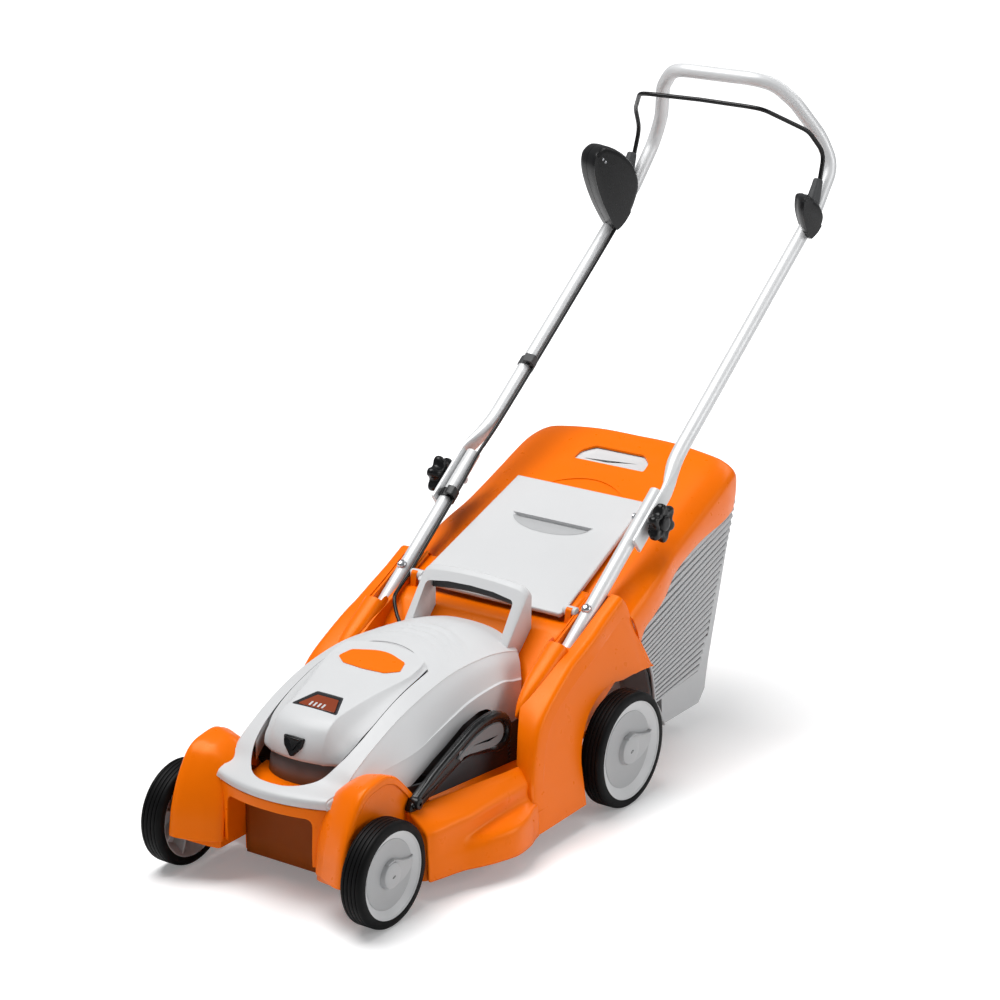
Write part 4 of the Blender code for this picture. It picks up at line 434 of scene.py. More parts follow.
def plate(outline, place, layers):
    # Rings of one outline (a, b): each layer is (inset, height); place(a, b, height) gives the point.
    count = len(outline)
    turn = sum(outline[j - 1][0] * outline[j][1] - outline[j][0] * outline[j - 1][1] for j in range(count))
    rings = []
    for inset, height in layers:
        ring = []
        for j in range(count):
            before, here, after = (Vector(outline[(j + k) % count][:2]) for k in (-1, 0, 1))
            along = ((here - before).normalized() + (after - here).normalized()).normalized()
            inward = Vector((-along.y, along.x)) * (1 if turn > 0 else -1)
            p = here + inward * inset
            ring.append(place(p.x, p.y, height))
        rings.append(ring)
    return rings


def held_by(thing, parent):
    thing.parent = parent
    thing.matrix_parent_inverse = parent.matrix_world.inverted()
    return thing


print("tools ready")

# %% [markdown]
# ## The four wheels
#
# A mower wheel is a hard plastic rim with a softer tread pushed over it. The tread has four running
# grooves so that it bites in wet grass. The rim narrows inwards like a funnel to a flat disc, and a
# cap with a curved tail is clipped over the axle's end. Tread and rim are turned shapes; the tail is
# a small fin that fades into the disc.

# %% Wheels
WHEELS = {"front_left": (174.5, -506, 75), "front_right": (-174.5, -506, 75),
          "rear_left": (225, 0, 87), "rear_right": (-225, 0, 87)}


def tread_profile(r):
    outer = [(-17.6, r - 13.2), (-18, r - 11), (-17.6, r - 6), (-16.4, r - 2.6), (-14.2, r - 0.6)]
    for middle in (-9.6, -3.2, 3.2, 9.6):
        outer += [(middle - 1.8, r), (middle - 0.7, r - 0.3), (middle - 0.5, r - 1.6), (middle + 0.5, r - 1.6),
                  (middle + 0.7, r - 0.3), (middle + 1.8, r)]
    return outer + [(-x, h) for x, h in reversed(outer[:5])]


def rim_profile(r):
    lip, floor = r - 12.9, 0.67 * r
    return [(-15.5, lip + 0.3), (-17, lip - 0.5), (-17, lip - 1.8), (-14, lip - 3), (-4, floor + 1), (6.5, floor - 3),
            (6.5, 9), (-14, 9), (-14, 7), (9, 7), (9, floor - 1), (9.6, floor), (15.6, lip - 2.6), (16.6, lip - 2.2),
            (17.2, lip - 1.4), (17.2, lip - 0.4), (16, lip + 0.3)]


def cap_tail(name, centre, side, k, body):
    # The crest runs from the boss to the disc's edge; the fin slopes from it to the line below.
    crest = spline([(-8, 17.5), (5.7, 19.6), (17, 15.4), (24, 12.7), (33, 10), (44, 8), (50, 9.4)], 5)
    foot = spline([(-4, -19), (8, -22), (20, -21), (30, -19), (38, -15.5), (45, -10.5), (50, -5)], 5)
    rings = []
    for n, (top, low) in enumerate(zip(crest, foot)):
        share = n / (len(crest) - 1)
        high = 16.1 - 3.5 * share
        out = (low - top).normalized()
        section = [(top - out * 1.4, 9), (top - out * 1.1, high - 0.7), (top, high), (top + out * 1.3, high - 0.8),
                   (top + out * 2.2, high - 2.2), (top * 0.5 + low * 0.5, 12.2 - share), (low - out * 0.6, 10.4),
                   (low, 9)]
        rings.append([Vector(centre) + Vector((side * h, p.x, p.y)) * k * MM for p, h in section])
    return skin(name, rings, "cap_plastic", body, crease=50)


for name, (x, y, r) in WHEELS.items():
    side, body, k = (1 if x > 0 else -1), name + "_wheel_assembly", r / 75
    centre = at(x, y, r)
    turned(name + "_tread", tread_profile(r), centre, "tyre_rubber", body, (name + "_tyre",), side)
    rim = turned(name + "_rim", rim_profile(r), centre, "wheel_plastic", body, (name + "_wheel",), side)
    edge = 0.67 * r
    disc = [(8.8, 0), (8.8, edge - 0.4), (10, edge - 0.6), (10.2, edge - 1.6), (9.6, edge - 4), (9.9, 24), (10.6, 0)]
    held_by(turned(name + "_disc", disc, centre, "disc_plastic", body, side=side), rim)
    boss = [(9, 0), (9, 20.4 * k), (10.6, 19.2 * k), (15, 18.4 * k), (16.4, 17.6 * k), (17.2, 15.6 * k), (17.5, 9),
            (17.6, 0)]
    cap = turned(name + "_boss", boss, centre, "cap_plastic", body, (name + "_cap",), side)
    held_by(cap_tail(name + "_tail", centre, side, k, body), cap)
    mark = [(3.4 * c * k, 1.5 * s * k - 2) for c, s in circle(1, 20)]
    slot = plate(mark, lambda a, b, h: centre + Vector((side * h, 0.94 * a - 0.34 * b, 0.34 * a + 0.94 * b)) * MM,
                 [(0, 16), (0, 17.75), (0.3, 17.9), (0.8, 17.9), (0.9, 17.5)])
    held_by(skin(name + "_slot", slot, DARK, body), cap)
    for step in range(8):
        angle = math.pi * (step + 0.5) / 4
        across = Vector((0, -math.sin(angle), math.cos(angle))) * 1.1 * MM
        out = Vector((0, math.cos(angle), math.sin(angle))) * MM
        rings = [[centre + out * reach + across * j + Vector((-side * h * MM, 0, 0)) for j, h in
                  ((-1, -6.6), (-1, 13.6), (-0.6, 14), (0.6, 14), (1, 13.6), (1, -6.6))] for reach in (8.5, r - 17.4)]
        held_by(skin(f"{name}_web_{step + 1}", rings, "wheel_plastic", body), rim)
print("wheels:", sorted(WHEELS))

# %% [markdown]
# ## Tubes and the bow
#
# The handle is bent from round silver tube. The two lower tubes are straight and sunk in sockets of
# the deck; the upper one is a single long tube, pressed flat where the knobs clamp it, with a bow for
# the hands. One swept section does it: it is wide and flat at the foot and round further on.

# %% Tubes
SLOPE = math.radians(36.5)
FOLD, TUBE, TUBE_X = 246, 11, 166
MIRROR = Matrix.Scale(-1, 4, (1, 0, 0))


def on_tube(x, along, out=0.0):
    # A point beside the tubes: along runs up their axis from the deck, out stands square on it.
    run, rise = math.cos(SLOPE), math.sin(SLOPE)
    return at(x, -57 + along * run - out * rise, 241 + along * rise + out * run)


for hand, side in HANDS:
    end = FOLD + 51
    stops = [-59.8, -59.4, -58.8, end - 1.2, end - 0.5, end - 0.15, end]
    round_end = [10.2, 10.8, TUBE, TUBE, 10.7, 10.0, 9.0]
    tube = swept(f"lower_pipe_{hand}", [on_tube(side * TUBE_X, along) for along in stops],
                 round_end, SILVER, replaces=(f"lower_tube_{hand}",), sides=64)
    plug = swept(f"lower_plug_{hand}", [on_tube(side * TUBE_X, end - 3 + j) for j in (0, 2.6, 3.3, 3.5)],
                 [8.6, 8.6, 8.2, 6], DARK, sides=48)
    held_by(plug, tube)

half = [(TUBE_X, 858), (164, 687, 813), (146, 679, 858), (121, 643, 914), (94, 625, 943), (64, 606, 952),
        (0, 610, 951)]
bow = eased([on_tube(TUBE_X, 700), on_tube(*half[0])] + [at(*p) for p in half[1:]], 0.08, 12)
foot = [(-48.2, 181.2, 3.0, 13.8), (-47.6, 181.2, 3.5, 14.4), (-46, 181.2, 3.6, 14.5), (50, 181.2, 3.6, 14.5),
        (56, 180.6, 4.4, 14.0), (64, 179.2, 5.8, 13.2), (73, 176.8, 7.6, 12.5), (83, 173.8, 9.3, 11.9),
        (94, 170.8, 10.4, 11.4), (106, 168.2, 11, 11.1), (120, 166.6, 11, 11), (136, TUBE_X, 11, 11),
        (220, TUBE_X, 11, 11)]
path = [on_tube(x, FOLD + along) for along, x, wide, high in foot] + bow
sizes = [(wide, high) for along, x, wide, high in foot] + [TUBE] * len(bow)
squares = [4.0 if along < 60 else 3.0 if along < 80 else 2.2 for along, *rest in foot] + [2.0] * len(bow)
path += [MIRROR @ p for p in reversed(path[:-1])]
sizes += sizes[-2::-1]
squares += squares[-2::-1]
swept("handle_bow", path, sizes, SILVER, "upper_handle_assembly", ("upper_handle",), 48, square=squares)
print("handle swept through", len(path), "points")

# %% [markdown]
# ## The stop bail and its boxes
#
# Held down, the thin bail lets the motor run; let go, it springs up and the motor stops. It is a
# painted rod bent to follow the bow. Its ends vanish in rubber boots on two black boxes: a large one
# with the switch and the start button, a small one that only holds the pivot. Each box is a rounded
# cushion whose flat inner face meets the swept side in one sharp line.

# %% Bail, boots and boxes
half = [(171, 631, 783), (169.5, 650, 839), (158, 620, 878), (112, 560, 917), (89, 553, 920), (0, 558, 920)]
rod = eased([at(*p) for p in half], [0, 0.03, 0.045, 0.04, 0.03, 0], 10)
rod += [MIRROR @ p for p in reversed(rod[:-1])]
swept("bail_rod", rod, 3.5, BLACK, "bail", ("bail",), 28)


def cushioned(name, face, shifts, replaces, x_inner, sharp=(), sides=6):
    # face is the flat inner outline; shifts are (depth, slide, inset), sharp the corners kept crisp.
    outline, keen = [], []
    count = len(face)
    for j, point in enumerate(spline(face, sides, closed=True)):
        outline.append((point.x, point.y))
        keen.append(any(min(abs(j - n * sides), count * sides - abs(j - n * sides)) < 3 * sides for n in sharp))
    rings = []
    for depth, slide, inset in shifts:
        soft = plate(outline, lambda a, b, h: Vector((a, b, 0)), [(inset, 0)])[0]
        crisp = plate(outline, lambda a, b, h: Vector((a, b, 0)), [(min(inset, 1.2), 0)])[0]
        ring = [c if k else f for f, c, k in zip(soft, crisp, keen)]
        rings.append([at(x_inner - depth, p.x + slide, p.y) for p in ring])
    return skin(name, rings, BLACK, "upper_handle_assembly", replaces, crease=40)


SWITCH_FACE = [(509, 836), (544, 825), (574, 808), (594, 790), (606, 770), (608, 752), (600, 735), (588, 719),
               (569, 704), (550, 696), (541, 698), (520, 723), (501, 750), (487, 776), (479, 798), (478, 816),
               (486, 830)]
PROFILE = [(0.2, 0, 9), (0.4, 0, 6), (1.2, 1, 3), (3.2, 2, 1), (6, 4, 0), (14, 9, -0.5), (23.7, 14, 0)]
swept_side = cushioned("switch_shell", SWITCH_FACE, PROFILE, ("switch_box",), -142, (10, 11, 12, 13))
COVER_PROFILE = [(24.1, 14, 0), (34, 19, 0.4), (40, 22, 1.4), (44, 24, 4), (46.6, 25, 8), (47.6, 25, 13)]
cushioned("switch_lid", SWITCH_FACE, COVER_PROFILE, ("switch_box_cover",), -142)
PIVOT_FACE = [(567, 783), (591, 779), (611, 768), (623, 755), (627, 744), (622, 733), (612, 725), (601, 720),
              (586, 718), (572, 736), (562, 757), (561, 773)]
PIVOT_PROFILE = [(0.2, 0, 7), (0.5, 0, 4), (2, 1, 1.6), (5, 3, 0), (14, 12, -2), (24, 24, -1), (32, 32, 2),
                 (37, 36, 7)]
cushioned("pivot_shell", PIVOT_FACE, PIVOT_PROFILE, ("pivot_box",), 186, (8, 9, 10), 8)
BOOT = [(614, 766, 8, 13), (617, 772, 8, 13), (622, 782, 7.2, 11.6), (627, 792, 6.4, 10), (630, 799, 6, 9.2),
        (631, 802, 5.4, 8.4), (631.4, 803, 4, 6)]
for hand, side in HANDS:
    swept(f"boot_{hand}", [at(side * 171, y, z) for y, z, *size in BOOT], [(a, b) for y, z, a, b in BOOT], DARK,
          "upper_handle_assembly", (f"bail_boot_{hand}",), square=3.2)
for n, (y, z) in enumerate(((502, 819), (509, 813.5))):
    place = lambda a, b, h, y=y, z=z: at(-142 + h, y + a, z + b)
    pin = plate(circle(2.2, 20), place, [(0, -2), (0, 0.4), (0.5, 0.9), (1.4, 0.6)])
    held_by(skin(f"switch_pin_{n + 1}", pin, STEEL, "upper_handle_assembly"), swept_side)
print("bail and boxes made")

# %% [markdown]
# ## Nets and saws
#
# Large shells are drawn as rows of points with a fine net laid through them. Openings are sawn out of
# a shell with a plain block, as on a bench. These few tools serve every shell below.

# %% Nets and saws


def net(rows, along, across, keen=()):
    # A fine net through rows of points; keen names the columns whose edge stays sharp.
    stops = [0] + sorted(keen) + [len(rows[0]) - 1]
    columns = []
    for first, last in zip(stops, stops[1:]):
        part = [spline([row[k] for k in range(first, last + 1)], across) for row in rows]
        columns = part if not columns else [a + b[1:] for a, b in zip(columns, part)]
    lines = [spline([row[j] for row in columns], along) for j in range(len(columns[0]))]
    return [list(row) for row in zip(*lines)]


def both_sides(row):
    return [Vector((-p.x, p.y, p.z)) for p in reversed(row[1:])] + row


def sawn(thing, rings, keep=False):
    # Takes away (or keeps) what lies inside the rings' solid, then sets the sharp edges anew.
    form = bmesh.new()
    stack(form, rings)
    bmesh.ops.recalc_face_normals(form, faces=form.faces)
    saw = bpy.data.objects.new("saw", bpy.data.meshes.new("saw"))
    form.to_mesh(saw.data)
    form.free()
    scene.collection.objects.link(saw)
    cut = thing.modifiers.new("cut", 'BOOLEAN')
    cut.operation = 'INTERSECT' if keep else 'DIFFERENCE'
    cut.solver, cut.object = 'EXACT', saw
    settled(thing)
    bpy.data.objects.remove(saw, do_unlink=True)
    form = bmesh.new()
    form.from_mesh(thing.data)
    shaded(form, thing.data)


def prism(outline, low, high):
    # An outline in plan (x, y in millimetres) between two heights.
    return [[at(x, y, z) for x, y in outline] for z in (low, high)]


print("nets and saws ready")

# %% [markdown]
# ## Motor housing
#
# The pale shell is one injection moulding: a crowned back, a crease on either side, and flanks that
# fall to the deck with one raised line along them. It is drawn as cross-sections from the nose to the
# rear. Behind the mouth for the battery cover four shallow flutes stiffen the back. The left flank is
# opened below for the height lever.

# %% Housing shell
REAR_SEAM = -245
FOOT_Z = 150
HOUSING = [(-540, 150, 92, 150, 95, 150, 98, 22), (-543, 160, 93, 160, 97, 156, 100, 22),
           (-534, 167, 94, 166, 100, 159, 103, 20), (-500, 177, 98, 171, 106, 162, 112, 12),
           (-471, 196, 100, 189, 113, 172, 122, 5), (-430, 219, 102, 210, 121, 182, 132, 0),
           (-374, 247, 103, 233, 130, 190, 138, 0), (-313, 268, 103, 249, 128, 202, 139, 0),
           (-238, 281, 101, 258, 126, 217, 138, 0), (-162, 279, 98, 254, 125, 220, 136, -3),
           (-110, 272, 98, 247, 124, 212, 134, -26), (-66, 259, 100, 238, 124, 208, 133, -58)]
FLUTES = (34, 53, 71, 89)


def shell_section(y, z, crease, crease_z, step, step_z, low, sweep):
    drop = z - crease_z
    ledge = 3.2 * min(1, max(0, (y + 375) / 110))
    points = [(0, z), (0.25 * crease, z - 0.05 * drop), (0.5 * crease, z - 0.22 * drop),
              (0.75 * crease, z - 0.55 * drop),
              (0.93 * crease, z - 0.87 * drop), (crease, crease_z), (crease + 0.5, crease_z - 1.4),
              (crease * 0.6 + step * 0.4 + 1.2, crease_z * 0.6 + step_z * 0.4), (step - ledge, step_z + 0.4 * ledge),
              (step, step_z - 0.3), (step * 0.5 + low * 0.5 + 1, step_z * 0.5 + FOOT_Z * 0.5), (low, FOOT_Z)]
    power = 2 if sweep > 0 else 4
    return [at(x, y + sweep * (x / low) ** power, h) for x, h in points]


rows = net([shell_section(*row) for row in HOUSING], 14, 5, keen=(5, 6, 8, 9))
for row in rows:
    for point in row:
        x, y = point.x / MM, point.y / MM - REAR_AXIS_Y
        behind = y - REAR_SEAM + 30 * (x / 78) ** 2
        for place in FLUTES:
            near = abs(behind - place) / 6.5
            if near < 1 and abs(x) < 88:
                point.z += 2.2 * MM * (0.5 + 0.5 * math.cos(math.pi * near)) * min(1, (88 - abs(x)) / 22)
shell = sheet("housing_shell", [both_sides(row) for row in rows], LIGHT, replaces=("motor_housing",), wall=3)


def mouth(grow, rear):
    # The opening's outline in plan: a round front, nearly straight sides, an arc behind.
    half = spline([(0, -526), (20, -524), (38, -516), (54, -501), (67, -482), (75, -460), (79.5, -432), (81, -400),
                   (80.5, -350), (80, -300), (79, rear - 27)], 4)
    arc = [(x, rear - 27 * (x / 78) ** 2) for x in (66, 50, 32, 15, 0)]
    half = [(p.x + grow * min(1, p.x / 30), p.y - grow * max(0, 1 - p.x / 75)) for p in half] + arc
    return half + [(-x, y) for x, y in reversed(half[1:-1])]


sawn(shell, prism(mouth(0, REAR_SEAM + 1), 155, 320))
flank = eased([(-425, 138, 0), (-386, 152, 0), (-344, 168, 0), (-308, 178, 0), (-262, 193, 0), (-222, 199, 0),
               (-200, 196, 0), (-180, 178, 0), (-166, 138, 0)], 30, 6)
sawn(shell, [[at(x, p.x, p.y) for p in flank] for x in (70, 180)])
foot_line = ((-470, 100), (-100, 100), (-100, 149.5), (-470, 149.5))
sawn(shell, [[at(x, y, z) for y, z in foot_line] for x in (-180, -70)])
soften(shell, 1, 38)
print("housing shell:", len(shell.data.polygons), "faces")

# %% [markdown]
# ## Battery cover
#
# The cover closes the mouth of the housing. Its blunt nose stands free above a finger gap; from the
# window two creases run back and widen. Window, latch and badge plate are pieces of their own, let
# into the cover. The badge plate is left bare.

# %% Cover, window, latch and badge
COVER = [(-476, 44, 184, 63.5, 184, 19), (-477, 44, 189, 64.5, 187, 19), (-475, 44.5, 204, 66.5, 190, 19),
         (-470, 45, 217, 69, 195, 18), (-462, 45, 228.5, 71.5, 200, 16), (-450, 45, 236.5, 73.5, 205, 12),
         (-437, 44.5, 241, 75.5, 210.5, 6), (-421, 45, 244, 77.5, 218, 1), (-400, 48.5, 248.5, 79.5, 227.5, 0),
         (-372, 54.5, 254.5, 79.8, 239.5, 0), (-338, 64, 261, 79.2, 251, 0), (-310, 71, 265.5, 78.9, 257.5, -3),
         (-280, 73, 270.5, 78.6, 262, -12), (REAR_SEAM, 70, 275.5, 77.5, 267.5, -27)]


def cover_section(y, top, top_z, edge, edge_z, sweep):
    hollow = 0.12 * (top_z - edge_z)
    points = [(0, top_z + 2), (0.35 * top, top_z + 1.8), (0.7 * top, top_z + 1.2), (0.93 * top, top_z + 0.4),
              (top, top_z - 0.6), (0.55 * top + 0.45 * edge, 0.5 * (top_z + edge_z) - hollow), (edge, edge_z)]
    return [at(x, y + sweep * (x / edge) ** 2, h) for x, h in points]


cover_net = net([cover_section(*row) for row in COVER], 8, 6, keen=(4,))
cover = sheet("cover_shell", [both_sides(row) for row in cover_net], LIGHT, "battery_cover_assembly",
              ("battery_cover",), 2.2, crease=50)
WINDOW = eased([(40, -429), (23, -391), (-23, -391), (-40, -429)], 3.5, 5, closed=True)
sawn(cover, prism(WINDOW, 225, 262))
soften(cover, 0.9, 50)


def on_cover(x, y, lift):
    # A point above the cover's crown; the crown is nearly flat across.
    stops = [(row[0], row[2]) for row in COVER[6:]]
    z = stops[-1][1]
    for (y0, z0), (y1, z1) in zip(stops, stops[1:]):
        if y0 <= y <= y1:
            z = z0 + (z1 - z0) * (y - y0) / (y1 - y0)
            break
    return at(x, y, z + 2 - 1.4 * (x / 60) ** 2 + lift)


rings = plate(WINDOW, on_cover, [(0.3, -3.5), (0.3, -0.6), (0.7, -0.2), (2.6, -0.2), (3.2, -0.8), (4.4, -1.9),
                                 (4.6, -3.4)])
pane = skin("window_frame", rings, "window_plastic", "battery_cover_assembly", ("status_window",))
inner = [(p.x * 0.8, -410 + (p.y + 410) * 0.72) for p in WINDOW]
held_by(skin("window_field", plate(inner, on_cover, [(0, -3), (0, -1.5), (0.5, -1.3), (1.0, -1.3)]), "glass_rust",
             "battery_cover_assembly"), pane)
for n in range(4):
    x, y = -13 + 7.2 * n, -418
    bar = eased([(x - 1.6, y - 4), (x + 1.6, y - 4), (x + 1.2, y + 5), (x - 2.0, y + 5)], 0.8, 3, closed=True)
    rings = plate(bar, on_cover, [(0, -1.4), (0, -1.1), (0.3, -0.95), (0.9, -0.95)])
    held_by(skin(f"charge_bar_{n + 1}", rings, LIGHT, "battery_cover_assembly"), pane)
badge_line = eased([(-54, -303), (-47, -282), (0, -264), (47, -282), (54, -303), (36, -316), (0, -319), (-36, -316)],
                   [4, 8, 60, 8, 4, 10, 60, 10], 6, closed=True)
raised = [[p + Vector((0, 0, 1.1 * MM)) for p in both_sides(row)] for row in cover_net[40:]]
badge = sheet("badge", raised, ORANGE, "battery_cover_assembly", ("badge_plate",), 1.2, crease=50)
sawn(badge, prism(badge_line, 200, 320), keep=True)
soften(badge, 0.4, 40)
LEAN = math.radians(73)


def on_nose(a, b, height):
    # A point on the nose's leaning face: b runs up it, height stands square on it.
    run, rise = math.cos(LEAN), math.sin(LEAN)
    return at(a, -474.5 + (a / 66) ** 2 * 19 + b * run - height * rise, 205 + b * rise + height * run)


shield = eased([(-18, 13), (-15.5, 0), (0, -16), (15.5, 0), (18, 13), (0, 14)], [2.5, 9, 5, 9, 2.5, 30], 6,
               closed=True)
rings = plate(shield, on_nose, [(0, -6), (0, 2.2), (0.4, 3.3), (1.2, 3.8), (2.6, 3.4), (4, 2.6), (6, 2.4)])
latch = skin("latch_shield", rings, BLACK, "cover_latch", ("cover_latch",))
brow = eased([(-13, 9), (13, 9), (13, 11.4), (-13, 11.4)], 1, 4, closed=True)
rings = plate(brow, on_nose, [(0, 3.6), (0, 4.6), (0.5, 5.1), (1, 5.1)])
held_by(skin("latch_brow", rings, BLACK, "cover_latch"), latch)
print("cover, window, latch and badge made; rear seam at", REAR_SEAM)

# %% [markdown]
# ### Inside of the mouth
#
# Below the cover's nose one looks into the finger gap. A mid-grey band closes it behind, an orange
# floor below, and a thin lining follows the sawn edge of the housing. A panel behind the deck's front
# recess keeps the eye from looking into the hollow machine; its dark orange-brown is painted shade.

# %% Wall and floor of the mouth
GAP_FRONT_Y = -467.4
FLOOR_Z = 150.2
band = spline([(0, -472), (24, -470), (46, -462), (62, -450), (71, -436), (76.5, -412), (77.5, -370)], 6)
band = [Vector((-p.x, p.y)) for p in reversed(band[1:])] + band
band = [[at(p.x, p.y + out, z) for p in band] for z, out in ((190, 3), (168, 1), (FLOOR_Z, -4))]
sheet("mouth_wall", band, MIDDLE, wall=2)
floor_line = [(x + 2.5 * (1 if x > 0 else -1) * (abs(x) > 1), y - 2) for x, y in mouth(0, REAR_SEAM + 1) if y < -430]
floor_line = sorted(floor_line, key=lambda p: math.atan2(p[1] + 430, p[0]))
skin("mouth_floor", plate(floor_line, at, [(0, 147), (0, 149.6), (0.6, 150), (6, 150.1), (14, 150.3)]), ORANGE)

corners = [v.co.copy() for v in shell.data.vertices]
shell_tree = BVHTree.FromPolygons(corners, [tuple(f.vertices) for f in shell.data.polygons])
lining = []
for x, y in mouth(1.2, REAR_SEAM + 1):
    spot = at(x * 1.03, y - (0 if y > -430 else 2), 420)
    hit = shell_tree.ray_cast(spot, Vector((0, 0, -1)))[0]
    top = hit.z if hit else 0.16
    lining.append([Vector((*at(x, y, 0).xy, max(FLOOR_Z * MM, top - drop * MM))) for drop in (1.2, 12, 30)])
lining = [list(ring) for ring in zip(*[line for line in lining if line[0].y > at(0, GAP_FRONT_Y, 0).y])]
sheet("mouth_lining", lining, LIGHT, wall=0.8)
# The panel's dark orange-brown is painted shade for the deep recess.
panel = [[at(x, -485.5, z) for x in range(-80, 81, 8)] for z in (30.6, 60, 90, 120, 148)]
sheet("front_panel", panel, "recess_painted_shade", wall=1.2)
print("mouth lined:", len(lining[0]), "columns")

# %% [markdown]
# ## Carry handle
#
# A moulded hoop to lift the machine with one hand. Two broad cheeks rise from the housing's crease
# and lean back; a slightly arched bar joins them, and a dark grey strip along its underside is painted
# shade. The cheeks and the bar are sawn from one block whose side is drawn here.

# %% Carry handle
cheek = eased([(-124, 216, 0), (-52, 315, 0), (-45, 320, 0), (-38, 318, 0), (-40, 252, 0), (-66, 222, 0)],
              [0, 6, 4, 3, 10, 0], 5, closed=True)
stations = [93 - 16 * (1 - math.cos(math.pi * n / 16)) for n in range(9)] + [66, 55, 44, 33, 22, 11, 0]
stations += [-x for x in reversed(stations[:-1])]
rings = []
for x in stations:
    corner = max(0, abs(x) - 77) / 16
    lift = 7 * (1 - (x / 93) ** 2) - 12 * (1 - math.sqrt(max(0, 1 - corner ** 2)))
    rings.append([at(x, p.x, p.y + lift * min(1, max(0, (p.y - 270) / 35))) for p in cheek])
hoop = skin("carry_hoop", rings, LIGHT, replaces=("carry_handle",))
gap = eased([(-79, 205), (-78, 303), (-40, 308.5), (0, 310), (40, 308.5), (78, 303), (79, 205)],
            [0, 9, 30, 30, 30, 9, 0], 6, closed=True)
sawn(hoop, [[at(p.x, y, p.y) for p in gap] for y in (-190, 20)])
soften(hoop, 1.8, 38)
# A dark grey strip under the bar: painted shade of its underside.
strip = [(x, 303 - 6.5 * (x / 78) ** 2) for x in range(-76, 77, 8)]
rings = [[at(x, y, z + dz) for y, dz in ((-49, 7), (-51, -5), (-49, -8), (-44, -8), (-41.5, 7))] for x, z in strip]
soften(skin("bar_underside_painted_shade", rings, DARK), 0.8, 40)
print("hoop made")

# %% [markdown]
# ## Lower body
#
# The deck carries the whole machine and is the most skilful moulding: an arch hood beside each front
# wheel, a lip under the housing with a deep recess below it, a stepped skirt, and a fender that
# climbs to the handle's socket. A copy of the solid deck, opened in front for the recess, is the core
# that is seen; the outer forms are laid over it as fine shells a millimetre thick or so.

# %% Deck core and front lip
FRONT_Y = -506


def arch(half, top, corner):
    line = eased([(-half, 20, 0), (-half, top, 0), (half, top, 0), (half, 20, 0)], [0, corner, corner, 0], 8,
                 closed=True)
    return [[at(p.x, y, p.y) for p in line] for y in (-600, -484)]


deck = frame["nodes"]["deck"]
core_mesh = deck.data.copy()
core_mesh.transform(deck.matrix_world)
core = bpy.data.objects.new("deck_core", core_mesh)
scene.collection.objects.link(core)
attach(core, "mower_body")
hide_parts("deck")
sawn(core, arch(77, 137.5, 14))
soften(core)

lip_plan = [(0, -33.6), (24, -33), (48, -29.6), (70, -24), (84, -18), (96, -11)]
lip = spline([(-x, y) for x, y in reversed(lip_plan[1:])] + lip_plan, 5)
lip_net = []
for z, out in ((149.2, 1.4), (148.4, 0.4), (146, 0), (120, -1.4), (92, -3), (68, -3.4), (65.5, -2)):
    lip_net.append([at(p.x, FRONT_Y + p.y + out, z) for p in lip])
front_lip = sheet("front_lip", lip_net, ORANGE, wall=4.5)
sawn(front_lip, arch(74, 135, 12))
soften(front_lip, 1.6, 38)
print("front lip and deck core:", len(core.data.polygons), "faces")

# %% [markdown]
# ### Hoods beside the front wheels
#
# Each hood is an arch seen from the side. Its outline shrinks a little from the broad outer face
# inwards, so that the form is crowned, and its foot rises towards the outside.

# %% Hoods beside the front wheels
HOOD_LINE = [(-61.5, 64.6), (-59, 80), (-54.5, 105), (-43.5, 136), (-30, 161), (-16, 179), (-3, 187.5), (12, 191.5),
             (38, 194), (53, 189), (67, 181), (92, 155), (115, 127), (126, 112), (135.5, 99), (136, 80), (135, 64.6)]
HOOD_STATIONS = [(151.2, 0.93, 0.92), (151, 0.965, 0.965), (150, 0.986, 0.988), (147.5, 1.0, 1.0),
                 (140, 0.985, 0.998),
                 (130, 0.937, 0.982), (118, 0.873, 0.962), (106, 0.81, 0.915), (96, 0.745, 0.862), (89, 0.7, 0.815),
                 (85, 0.655, 0.77), (82.5, 0.6, 0.71)]
HOOD_FOOT_Z = 64.6
line = spline(HOOD_LINE, 4)
for hand, side in HANDS:
    rings = []
    for x, across, up in spline(HOOD_STATIONS, 3):
        ring = []
        for p in line:
            height = 60 + (p.y - 60) * up
            share = min(1, max(0, (height - HOOD_FOOT_Z) / 12))
            low = HOOD_FOOT_Z + (3 if x > 118 else 7) * (x - 118) / 33 * (1 - share)
            ring.append(at(side * x, FRONT_Y + 26 + (p.x - 26) * across, max(low, height) if share < 1 else height))
        rings.append(ring)
    sheet(f"hood_{hand}", rings, ORANGE, wall=1.2, crease=60)
print("hoods made")

# %% [markdown]
# ### Stepped skirts
#
# Between the wheels the deck's side is a skirt with a step half way down. The step is narrow in front
# and swells to a shelf before the rear wheel. Each row of the table is one cross-section at its y,
# from the top (x, z) to the foot.

